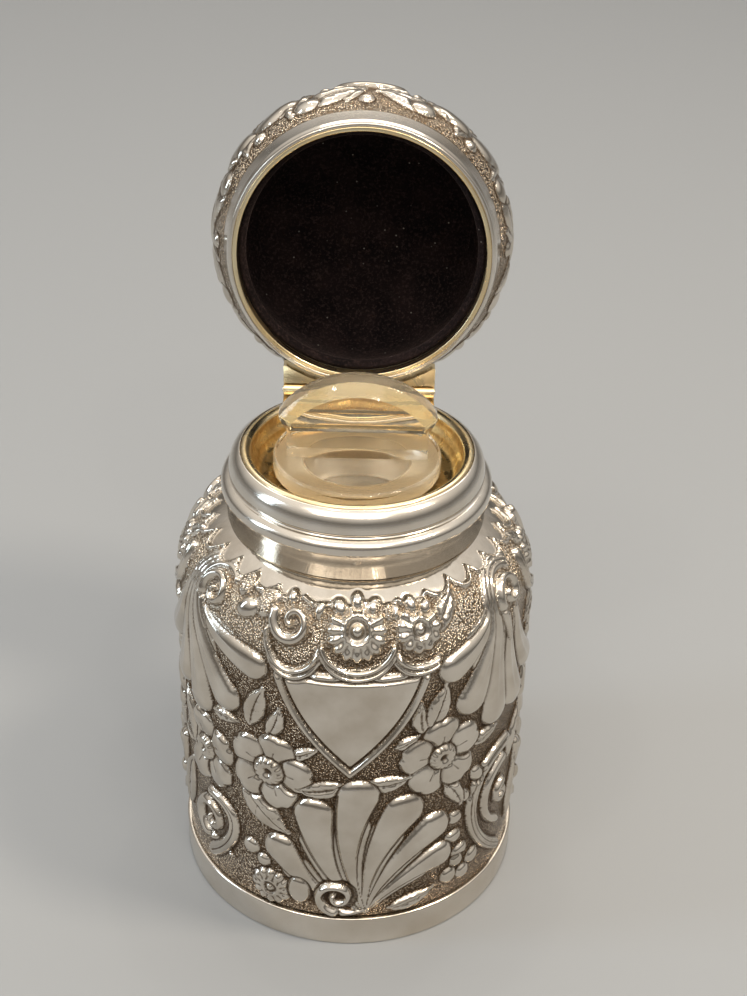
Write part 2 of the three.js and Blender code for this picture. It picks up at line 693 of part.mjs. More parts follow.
// The lid's plate lies over the barrel and turns down at its corners to the plane of the mouth
function lidHingeLeaf() {
  const low = hingeZ + BARREL_R + GAP;
  const rimClearR = rimR + 0.8 + GAP;
  const plate = leafPlate(rimClearR, hingeY + COVER_OUT, low, low + LEAF_T);
  const corners = leafPlate(rimClearR, hingeY - BARREL_R - GAP, mouthZ, low + 0.2);
  return geometryOf(plate.add(corners));
}

const knuckleL = (2 * HINGE_HALF - (KNUCKLES - 1) * GAP) / KNUCKLES;

function tube(radius, bore, length) {
  const half = length / 2;
  const turned = ring([[bore, -half], [radius, -half], [radius, half], [bore, half]], ROUND_PIN);
  return turned.rotateY(Math.PI / 2);
}

function hingePin() {
  const half = HINGE_HALF + PIN_PROUD;
  return revolve([[0, -half], [PIN_R, -half], [PIN_R, half], [0, half]], ROUND_PIN).rotateY(Math.PI / 2);
}

function part(name, geometry, finish) {
  const mesh = new THREE.Mesh(geometry, finish);
  mesh.name = name;
  return mesh;
}

function knuckle(name, place) {
  const mesh = part(name, tube(BARREL_R, PIN_R + GAP, knuckleL), SILVER);
  mesh.position.set((place - (KNUCKLES - 1) / 2) * (knuckleL + GAP), hingeY, hingeZ);
  return mesh;
}

function hingePinPart() {
  const mesh = part("hinge_pin", hingePin(), SILVER);
  mesh.position.set(0, hingeY, hingeZ);
  return mesh;
}

const bottle = new THREE.Group();
bottle.add(
  part("base_plate", basePlate(), SILVER),
  part("foot_band", footBand(), SILVER),
  part("case_wall", caseWall(), CHASED_SILVER),
  part("neck_collar", neckCollar(), SILVER),
  part("neck_gilt_dish", giltDish(), GILT),
  part("glass_bottle", glassBottle(), GLASS),
  part("bottle_bed", bottleBed(), CORK),
  part("neck_packing", neckPacking(), PLASTER),
  part("body_hinge_leaf", bodyHingeLeaf(), SILVER),
  knuckle("body_knuckle_left", 0),
  knuckle("body_knuckle_middle", 2),
  knuckle("body_knuckle_right", 4),
  hingePinPart());

const stopper = new THREE.Group();
stopper.add(part("glass_stopper", glassStopper(), GLASS));

// The lid is drawn closed, and its group turns it open about the hinge
const lidParts = new THREE.Group();
lidParts.add(
  part("lid_rim", lidRim(), SILVER),
  part("lid_gilt_liner", lidLiner(), GILT),
  part("lid_dome", lidDome(), CHASED_SILVER),
  part("lid_former", lidFormer(), CARD),
  part("velvet_lining", velvetLining(), VELVET),
  part("lid_hinge_leaf", lidHingeLeaf(), GILT),
  knuckle("lid_knuckle_left", 1),
  knuckle("lid_knuckle_right", 3));
lidParts.position.set(0, -hingeY, -hingeZ);
const lid = new THREE.Group();
lid.add(lidParts);
lid.position.set(0, hingeY, hingeZ);
lid.rotation.x = -THREE.MathUtils.degToRad(OPEN_DEG);

const cologneBottle = new THREE.Group();
cologneBottle.add(bottle, stopper, lid);

export default cologneBottle;
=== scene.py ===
"""Looks of a silver-cased cologne bottle with a chased case, a domed lid and a glass stopper."""

import json
from math import asin, cos, degrees, hypot, pi, radians, sin

import bmesh
import bpy
import numpy as np
from mathutils import Matrix, Vector


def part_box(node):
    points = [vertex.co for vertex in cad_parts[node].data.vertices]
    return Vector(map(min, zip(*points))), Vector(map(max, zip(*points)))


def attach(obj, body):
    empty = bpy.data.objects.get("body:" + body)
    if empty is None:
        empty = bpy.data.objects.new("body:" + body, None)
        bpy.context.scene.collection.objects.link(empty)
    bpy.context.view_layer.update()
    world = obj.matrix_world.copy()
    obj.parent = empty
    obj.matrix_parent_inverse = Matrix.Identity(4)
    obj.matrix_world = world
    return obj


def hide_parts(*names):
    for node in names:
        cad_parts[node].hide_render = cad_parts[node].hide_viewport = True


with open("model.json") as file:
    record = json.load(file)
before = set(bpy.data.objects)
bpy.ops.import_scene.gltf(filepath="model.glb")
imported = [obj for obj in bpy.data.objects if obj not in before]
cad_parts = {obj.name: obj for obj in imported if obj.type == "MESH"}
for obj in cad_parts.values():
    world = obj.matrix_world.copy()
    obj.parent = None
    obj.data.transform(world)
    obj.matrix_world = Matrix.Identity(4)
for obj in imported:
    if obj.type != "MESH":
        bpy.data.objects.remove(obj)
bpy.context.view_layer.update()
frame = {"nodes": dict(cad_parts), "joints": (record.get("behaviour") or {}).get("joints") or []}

# Profiles and patterns are written in millimetres, and meshes are made in metres
MM = 0.001


def extent(node):
    """Outer radius, lowest and highest point of a round node that stands upright, in millimetres."""
    low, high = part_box(node)
    return high[0] / MM, low[2] / MM, high[2] / MM


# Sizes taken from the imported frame
FOOT_R, FOOT_LOW, FOOT_TOP = extent("foot_band")
COLLAR_R, COLLAR_LOW, LIP_Z = extent("neck_collar")
CASE_LOW, FLANGE_TOP = extent("case_wall")[1:]
PLATE_R, PLATE_LOW, PLATE_TOP = extent("base_plate")
GLASS_R, GLASS_LOW, GLASS_LIP = extent("glass_bottle")
DISC_R, PLUG_END = extent("glass_stopper")[:2]
HINGE = [joint for joint in frame["joints"] if joint["name"] == "lid_hinge"][0]
HINGE_Y, HINGE_Z = HINGE["pos_m"][1] / MM, HINGE["pos_m"][2] / MM
HINGE_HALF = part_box("body_hinge_leaf")[1][0] / MM
OPEN_ANGLE = radians(-HINGE["range_deg"][0])

# Room between pieces that don't touch
CLEARANCE = 0.3

# Sizes of the foot, the case and its relief
FOOT_WALL = 1.1
GROUND_R = 32.4
GROUND_SINK = 0.2
WALL = 1.1
SHOULDER_Z = 62.0
NECK_R = 23.3
NECK_Z = COLLAR_LOW - CLEARANCE
FLANGE_R = 22.0
FLANGE_WALL = 0.8
SHEET_W = 103.0
SHEET_H = 75.0
SHEET_CELLS = 520, 390
RELIEF = 1.45

# Sizes of the glass bottle, and of the stopper's disc, stem and half-moon grip
GLASS_NECK_R = 13.4
GLASS_SHOULDER_Z = 56.0
DISC_TOP = PLUG_END + 21
DISC_T = 3
STEM_H = 4.7
STEM_HALF = 12.4
STEM_T = 5.0
HEEL_H = 3
GRIP_HALF = 13.9
GRIP_RISE = 7.2
GRIP_T = 7.8
GRIP_BEVEL = 2.0

# Sizes of the lid in its closed place
MOUTH_Z = 86.5
MOUTH_R = 23.2
RIM_R = 24.8
RIM_TOP_Z = 91.7
RIM_TOP_R = 26.1
LID_WALL = 0.9
DOME_Z = 92.0
DOME_R = 28.2
DOME_H = 23.6
DOME_RELIEF = 1.1
DOME_SHEET_W = 60.0
DOME_SHEET_H = 36.0
DOME_CELLS = 420, 220
CROWN_GAP = 0.05
VELVET_T = 1.4
VELVET_INSET = 1.6
VELVET_FOOT_Z = 89.4
BARREL_R = 1.15
PIN_R = 0.45

# Radius of the upper fans' volutes
VOLUTE_R = 3.6

# Width of the line chased round each raised form, its depth, and other heights as a share of the relief
MOAT = 0.6
MOAT_DEPTH = 0.16
WEB_TOP = 0.34
LEAF_TOP = 0.85

# Counts of a flower's petals, a leaf's veins and the steps of a turned piece
PETALS = 5
LEAF_VEINS = 4
TURN_STEPS = 256


# Meshes

def in_scene(name, data):
    """A new object that is linked to the scene."""
    thing = bpy.data.objects.new(name, data)
    bpy.context.scene.collection.objects.link(thing)
    return thing


def smooth_mesh(name, verts, faces, **attributes):
    """A smooth mesh. Its faces are turned outward where it encloses a negative volume."""
    mesh = bpy.data.meshes.new(name)
    mesh.from_pydata((np.asarray(verts) * MM).tolist(), [], faces)
    mesh.update()
    mesh.shade_smooth()
    for key, values in attributes.items():
        mesh.attributes.new(key, "FLOAT", "POINT").data.foreach_set("value", values)
    measured = bmesh.new()
    measured.from_mesh(mesh)
    if measured.calc_volume(signed=True) < 0:
        mesh.flip_normals()
    measured.free()
    return in_scene(name, mesh)


def dress(piece, material, body, node):
    """Gives a piece its material and the body that it rides on, and hides the node that it stands for."""
    piece.data.materials.append(material)
    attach(piece, body)
    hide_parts(node)


def refinish(piece, material, radius, low, high):
    """Gives the faces within a radius and between two heights another finish."""
    piece.data.materials.append(material)
    for polygon in piece.data.polygons:
        x, y, z = polygon.center / MM
        if hypot(x, y) < radius and low < z < high:
            polygon.material_index = 1


def spun(radius, height, start):
    """Points turned about the axis, from a row of radii and one of heights for each ring."""
    columns = radius.shape[1]
    angle = start + np.arange(columns) / columns * 2 * np.pi
    return np.stack([radius * np.cos(angle), radius * np.sin(angle), height], axis=-1).reshape(-1, 3)


def grid_faces(rows, columns, wrap_rows):
    """Quads over a grid that closes round its columns, and round its rows if asked."""
    row = np.arange(rows if wrap_rows else rows - 1)[:, None] * columns
    column = np.arange(columns)[None, :]
    after = (column + 1) % columns
    above = (row + columns) % (rows * columns)
    quads = [row + column, row + after, above + after, above + column]
    return np.stack(quads, axis=-1).reshape(-1, 4).tolist()


def fan_faces(top, ring, columns, flip):
    """Triangles from one point to each side of a ring of points."""
    sides = [(ring + place, ring + (place + 1) % columns) for place in range(columns)]
    return [[top, b, a] if flip else [top, a, b] for a, b in sides]


def turned(name, profile, columns=TURN_STEPS):
    """A solid of revolution. A profile that starts and ends on the axis gets a point at each end."""
    on_axis = profile[0][0] == 0 and profile[-1][0] == 0
    rings = np.asarray(profile[1:-1] if on_axis else profile, float)
    radius, height = (np.repeat(values[:, None], columns, axis=1) for values in rings.T)
    verts = spun(radius, height, -pi / 2)
    faces = grid_faces(len(rings), columns, not on_axis)
    if on_axis:
        low, high = len(verts), len(verts) + 1
        verts = np.vstack([verts, [[0, 0, profile[0][1]], [0, 0, profile[-1][1]]]])
        faces += fan_faces(low, 0, columns, True) + fan_faces(high, low - columns, columns, False)
    return smooth_mesh(name, verts, faces)


def block(inner, outer, low, high):
    """The corners of a rectangular section between two radii."""
    return [(inner, low), (outer, low), (outer, high), (inner, high)]


def rounded(points, radii, steps=5):
    """A profile whose corners are rounded by the given radii, where 0 leaves a corner sharp."""
    result = []
    for i, (point, radius) in enumerate(zip(points, radii)):
        if radius == 0:
            result.append(tuple(point))
            continue
        here = np.array(point, float)
        before = np.array(points[i - 1], float) - here
        after = np.array(points[(i + 1) % len(points)], float) - here
        reach = min(radius, 0.48 * np.linalg.norm(before), 0.48 * np.linalg.norm(after))
        start = here + before / np.linalg.norm(before) * reach
        end = here + after / np.linalg.norm(after) * reach
        for t in np.linspace(0, 1, steps):
            result.append(tuple((1 - t) ** 2 * start + 2 * t * (1 - t) * here + t ** 2 * end))
    return result


def bezier(points, steps):
    """Points along a quadratic or cubic curve."""
    t = np.linspace(0, 1, steps)[:, None]
    level = [np.array(point, float)[None, :] for point in points]
    while len(level) > 1:
        level = [(1 - t) * a + t * b for a, b in zip(level, level[1:])]
    return level[0]


def evenly(points, count):
    """The same line with evenly spaced points."""
    points = np.asarray(points, float)
    run = np.concatenate([[0], np.cumsum(np.hypot(*np.diff(points, axis=0).T))])
    where = np.linspace(0, run[-1], count)
    return np.stack([np.interp(where, run, points[:, k]) for k in range(2)], axis=-1)


def polar(centre, radius, angle):
    """Points about a centre, at an angle or a row of angles."""
    return np.stack([centre[0] + radius * np.cos(angle), centre[1] + radius * np.sin(angle)], axis=-1)


def open_lid(piece):
    """Turns a lid piece from its closed place to its open stop about the hinge."""
    hinge = Vector((0, HINGE_Y * MM, HINGE_Z * MM))
    turn = Matrix.Translation(hinge) @ Matrix.Rotation(-OPEN_ANGLE, 4, "X") @ Matrix.Translation(-hinge)
    piece.data.transform(turn)
    return piece


# Chased relief: forms are raised on a flat sheet of metal that repeats along its length

class Sheet:
    def __init__(self, width, tall, columns, rows):
        self.width = width
        self.x, self.y = np.meshgrid((np.arange(columns) / columns - 0.5) * width, np.linspace(0, tall, rows))
        self.height = np.zeros((rows, columns))
        self.matted = np.zeros((rows, columns))

    def across(self, x):
        """Distance round the sheet from x, the short way."""
        d = self.x - x
        return d - self.width * np.round(d / self.width)

    def gap(self, at):
        """Distances from a point along the sheet and up it."""
        return self.across(at[0]), self.y - at[1]

    def near(self, path, start_w, end_w, swell=1.0):
        """Distance from a path as a share of its half-width, the place along it, and the side."""
        path = np.asarray(path, float)
        share = np.full(self.x.shape, 9.0)
        along = np.zeros(self.x.shape)
        side = np.zeros(self.x.shape)
        reach = 1.7 * max(start_w, end_w)
        tall = self.y[:, 0]
        rows = np.nonzero((tall > path[:, 1].min() - reach) & (tall < path[:, 1].max() + reach))[0]
        if not len(rows):
            return share, along, side
        part = slice(rows[0], rows[-1] + 1)
        count = len(path) - 1
        middle = path[count // 2, 0]
        px = self.across(middle)[part] + middle
        py = self.y[part]
        for i in range(count):
            (ax, ay), (bx, by) = path[i], path[i + 1]
            ex, ey = bx - ax, by - ay
            t = np.clip(((px - ax) * ex + (py - ay) * ey) / max(ex * ex + ey * ey, 1e-9), 0, 1)
            where = (i + t) / count
            gap_x, gap_y = px - ax - t * ex, py - ay - t * ey
            d = np.hypot(gap_x, gap_y) / (start_w + (end_w - start_w) * where ** swell)
            closer = d < share[part]
            share[part] = np.where(closer, d, share[part])
            along[part] = np.where(closer, where, along[part])
            side[part] = np.where(closer, np.sign(ex * gap_y - ey * gap_x), side[part])
        return share, along, side

    def lift(self, share, height, size, moat=MOAT):
        """Raises a form where share is below 1, and chases a line round it. Size is one share in mm."""
        edge = np.clip((share - 1) * size / moat, 0, 1)
        damped = self.height * (0.1 + 0.9 * edge ** 0.7) - MOAT_DEPTH * (1 - edge) ** 2
        self.height = np.where(share >= 1, damped, np.maximum(self.height * 0.2, height))

    def cut(self, share, depth):
        """Chases a line down into the metal."""
        self.height = self.height - depth * np.exp(-(share ** 2) * 2)


def pillow(share, power=4.0):
    """Height across a form: level on top and round at its edge."""
    return np.sqrt(np.clip(1 - np.clip(share, 0, 1) ** power, 0, 1))


def lobe(sheet, path, root_w, tip_w, swell, crest=0):
    """A pear-shaped lobe: narrow at its root, and swelling to a raised round tip.

    A crest of 1 or -1 runs a sharp ridge along its left or right side, which fades before the tip.
    """
    share, along, side = sheet.near(path, root_w, tip_w, swell)
    section = pillow(share, 2.3)
    if crest:
        v = share * side * crest - 0.3
        facets = np.where(v < 0, 0.74 + 0.26 * np.exp(-(v / 0.16) ** 2), 1.0 - 0.65 * v / 0.7)
        fade = along ** 5
        section = section * fade + facets * pillow(share, 5) * (1 - fade)
    sheet.lift(share, (0.5 + 0.6 * along ** 1.5) * section, tip_w)


def lobe_line(root, tip, bend):
    """The middle line of a lobe. One number for bend turns it clockwise, whichever way it leans."""
    run, rise = tip[0] - root[0], tip[1] - root[1]
    if isinstance(bend, tuple):
        via = (root[0] + bend[0] * run, root[1] + bend[1] * rise)
    else:
        via = (root[0] + 0.5 * run - bend * rise, root[1] + 0.5 * rise + bend * run)
    return bezier([root, via, tip], 36)


def web(sheet, path, root_w, tip_w, swell):
    """A low web under the shaft of a lobe, which joins it to its neighbours."""
    part = path[:3 * len(path) // 4]
    share = sheet.near(part, root_w, tip_w, swell)[0]
    sheet.lift(share, WEB_TOP * pillow(share, 6), tip_w)


def fan(sheet, root, tips, bend=(0.12, 0.55), swell=1.15):
    """Lobes from one root, joined by a low web."""
    paths = [lobe_line(root, tip[:2], bend) for tip in tips]
    for path, tip in zip(paths, tips):
        web(sheet, path, 0.9, 0.8 * tip[2] + 0.6, 1.1)
    for path, tip in zip(paths, tips):
        lobe(sheet, path, 0.32, tip[2], swell)


def swept_fan(sheet, eye, over, under, crest, tail):
    """A volute and its lobes. Those in over first pass round its top, one outside the other."""
    paths = []
    for tip_x, tip_y, tip_w, start in under:
        root = polar(eye, VOLUTE_R, radians(start))
        path = bezier([root, (root[0], 0.5 * (root[1] + tip_y)), (tip_x, tip_y)], 32)
        paths.append((path, tip_w, 1.0))
    for place, (tip_x, tip_y, tip_w) in enumerate(over):
        ring = VOLUTE_R + 0.4 + 0.95 * (len(over) - place)
        arc = polar(eye, ring, np.radians(np.linspace(48, 180, 14)))
        drop = bezier([arc[-1], (arc[-1][0], eye[1] - 0.42 * (eye[1] - tip_y)), (tip_x, tip_y)], 30)
        paths.append((np.vstack([arc[:-1], drop]), tip_w, 1.8))
    for path, tip_w, swell in paths:
        web(sheet, path, 0.7, 0.85 * tip_w + 0.5, swell)
    for path, tip_w, swell in paths:
        lobe(sheet, path, 0.48, tip_w, swell, crest)
    volute(sheet, eye, VOLUTE_R, -1.2, 200, 1.05, 1.1, tail)


def volute(sheet, eye, radius, turns, end_angle, width, top=0.95, tail=()):
    """A ribbon that winds inward from its outer end, clockwise where turns is below 0.

    The tail leads on from the outer end and tapers off.
    """
    t = np.linspace(0, 1, 44)
    angle = radians(end_angle) + turns * 2 * np.pi * (1 - t)
    path = polar(eye, radius * (0.16 + 0.84 * t), angle)
    disc = np.hypot(*sheet.gap(eye)) / radius
    sheet.lift(disc, 0.1 * pillow(disc, 6), radius)
    if tail:
        share = sheet.near(bezier([path[-1], *tail], 14), 0.9 * width, 0.3)[0]
        sheet.lift(share, 0.75 * top * pillow(share, 2.2), width, 0.35)
    share = sheet.near(path, 0.5 * width, width)[0]
    sheet.lift(share, top * (0.8 + 0.2 * np.clip(disc, 0, 1)) * pillow(share, 2.2), width, 0.35)


def turned_gap(sheet, at, angle):
    """Distances from a point along a direction and across it."""
    dx, dy = sheet.gap(at)
    c, s = cos(radians(angle)), sin(radians(angle))
    return dx * c + dy * s, dy * c - dx * s


def bead(sheet, at, radius, top, power=2.0, stretch=1.0, tilt=0.0):
    """A round or oval boss."""
    out, off = turned_gap(sheet, at, tilt)
    share = np.hypot(out / stretch, off) / radius
    sheet.lift(share, top * pillow(share, power), radius)


def matted_bud(sheet, at, radius, stretch=1.0, tilt=0.0):
    """A low boss that is punched all over like the ground."""
    bead(sheet, at, radius, 0.6, 4, stretch, tilt)
    share = np.hypot(*sheet.gap(at)) / radius
    sheet.matted = np.maximum(sheet.matted, np.clip((1.0 - share) / 0.3, 0, 0.75))


def flower(sheet, at, reach, petal_r, centre_r, start, top=0.95, beads=14):
    """Round petals that swell outward and overlap, about a milled boss with a deep pit."""
    for i in range(PETALS):
        out, off = turned_gap(sheet, at, start + 360 * i / PETALS)
        notch = 0.12 * np.exp(-(off / 0.7) ** 2) * (out > reach)
        share = np.hypot(out - reach, off / 1.14) / petal_r + notch
        rise = 0.66 + 0.34 * np.clip((out - reach) / petal_r, -1, 1) + 0.16 * off / petal_r
        sheet.lift(share, top * (0.25 + 0.85 * rise) * pillow(share, 2.6), petal_r, 0.45)
        fold = np.hypot(off / 0.3, np.clip(np.abs(out - reach * 0.75) - 0.3 * petal_r, 0, None) / 0.4)
        sheet.cut(fold, 0.22 * top)
    dx, dy = sheet.gap(at)
    share = np.hypot(dx, dy) / centre_r
    milled = 0.2 * np.cos(beads * np.arctan2(dy, dx)) * np.exp(-((share - 0.74) / 0.2) ** 2)
    pit = 0.95 * np.exp(-(share / 0.32) ** 2)
    sheet.lift(share, top * (1.15 * pillow(share, 2.2) + milled - pit), centre_r, 0.45)


def daisy(sheet, at, radius, petals, top=0.85):
    """A ring of narrow fluted petals round a ring and a ball."""
    dx, dy = sheet.gap(at)
    flute = np.abs(np.cos(petals * np.arctan2(dy, dx) / 2))
    share = np.hypot(dx, dy) / (radius * (0.9 + 0.12 * flute))
    petal = 0.5 * flute ** 0.7 * np.exp(-((share - 0.74) / 0.22) ** 2)
    ringed = 0.55 * np.exp(-((share - 0.42) / 0.1) ** 2)
    ball = 0.65 * pillow(np.clip(share / 0.2, 0, 1), 2)
    sheet.lift(share, top * (0.4 * pillow(share, 6) + petal + ringed + ball), radius)


def leaf(sheet, start, end, width, bend=0.0):
    """A pointed leaf with a sunk midrib and slanting veins."""
    start, end = np.array(start, float), np.array(end, float)
    across = np.array([-(end - start)[1], (end - start)[0]])
    via = (start + end) / 2 + bend * across
    share, along, side = sheet.near(bezier([start, via, end], 14), width, width)
    outline = np.clip(np.sin(np.pi * np.clip(along, 0.02, 0.98) ** 0.8), 0.12, 1) ** 0.75
    edge = share / outline
    sheet.lift(edge, LEAF_TOP * (0.7 + 0.3 * share + 0.1 * side) * pillow(edge, 3), width)
    sheet.cut(np.where(edge < 1.1, share * width / 0.26, 9), 0.4 * LEAF_TOP)
    step = np.hypot(*(end - start)) / LEAF_VEINS
    slant = np.abs((along * LEAF_VEINS - 0.7 * share * width / step) % 1 - 0.5) * step
    sheet.cut(np.where(edge < 0.92, slant / 0.18, 9), 0.2 * LEAF_TOP)


def ridge(sheet, points, start_w, end_w, top=0.85, lines=0):
    """A raised scroll or swag along a curve, with chased lines that run along it."""
    share, along, side = sheet.near(bezier(points, 26), start_w, end_w)
    form = top * pillow(share, 2.6)
    for line in range(lines):
        where = (line + 1) / (lines + 1) * 2 - 1
        form = form - 0.5 * top * np.exp(-((share * side - where) / 0.16) ** 2)
    sheet.lift(share, form, (start_w + end_w) / 2)


def swag(sheet, points, top):
    """Two thin ridges side by side, pointed where one swag meets the next."""
    for drop in (1.35, 0):
        ridge(sheet, [(x, y - drop) for x, y in points], 0.5, 0.62, top - 0.1 * drop)


def shield(sheet, half, top_y, tip_y):
    """A vacant shield: a level field inside a raised border."""
    sides = bezier([(0, tip_y), (5.5, tip_y + 6), (12, tip_y + 12), (half, top_y)], 60)
    reach = np.interp(sheet.y, sides[:, 1], sides[:, 0])
    slope = np.gradient(sides[:, 0], sides[:, 1])
    lean = np.interp(sheet.y, sides[:, 1], 1 / np.sqrt(1 + slope ** 2))
    dx, dy = sheet.gap((0, tip_y))
    inside = np.where(dy < 0, -np.hypot(dx, dy), (reach - np.abs(dx)) * lean)
    inside = np.minimum(inside, top_y - sheet.y)
    border = 0.85 * pillow(np.abs(inside - 0.7) / 0.7, 2.4)
    field = 0.62 * np.clip((inside - 1.75) / 0.3, 0, 1) ** 0.5
    edge = np.clip(-inside / MOAT, 0, 1)
    keep = sheet.height * (0.1 + 0.9 * edge) - MOAT_DEPTH * (1 - edge) ** 2
    sheet.height = np.where(inside > 0, np.maximum(border, field), keep)


def spiked_edge(sheet, low, points, first):
    """A raised edge below the polished neck, with concave bays between sharp points."""
    phase = (sheet.x - first) / sheet.width * points
    saw = np.abs(phase - np.round(phase)) * 2
    tall = 1.0 + 1.9 * np.clip((np.abs(sheet.x) - 13) / 9, 0, 1)
    inside = low + tall * (1 - saw) ** 2.2 - sheet.y
    border = 0.7 * pillow(np.abs(inside - 0.45) / 0.5, 2.2)
    sheet.height = np.where(inside > 0, np.maximum(sheet.height, border), sheet.height)
    return inside


def blurred(height, sigma_cells):
    """The height with detail finer than sigma taken out. It repeats along the sheet."""
    rows, columns = height.shape
    padded = np.vstack([height[::-1], height, height[::-1]])
    fy = np.fft.fftfreq(rows * 3)[:, None]
    fx = np.fft.fftfreq(columns)[None, :]
    keep = np.exp(-2 * (np.pi * sigma_cells) ** 2 * (fx ** 2 + fy ** 2))
    return np.fft.ifft2(np.fft.fft2(padded) * keep).real[rows:2 * rows]


def side_panel(sheet):
    """A palmette, a flower and scrolls, half a repeat from the shield."""
    mid = SHEET_W / 2
    for sign in (-1, 1):
        ridge(sheet, [(mid + sign * 7, 22), (mid + sign * 9, 9), (mid + sign * 1.5, 5)], 1.4, 1.0, 0.85, 1)
        leaf(sheet, (mid + sign * 2, 22), (mid + sign * 7, 29), 2.4, sign * 0.1)
        leaf(sheet, (mid + sign * 2, 42), (mid + sign * 5, 51), 2.2, -sign * 0.15)
    tips = [(-6.3, 14), (-3.3, 19), (0, 21), (3.3, 19), (6.3, 14)]
    fan(sheet, (mid, 3), [(mid + x, y, 1.9) for x, y in tips])
    flower(sheet, (mid, 34.5), 5.4, 3.3, 2.8, 90)
    leaf(sheet, (mid, 43), (mid, 56), 2.4)
    for sign in (-1, 1):
        ridge(sheet, [(mid + sign * 2, 58), (mid + sign * 9.5, 58.5), (mid + sign * 8, 67)], 0.8, 1.3, 0.9, 1)
        leaf(sheet, (mid + sign * 2.5, 56), (mid + sign * 9, 53), 1.9, sign * 0.1)
        leaf(sheet, (mid + sign * 2.5, 66.5), (mid + sign * 6, 70.5), 1.4, sign * 0.1)
    daisy(sheet, (mid, 63.5), 4.2, 12)


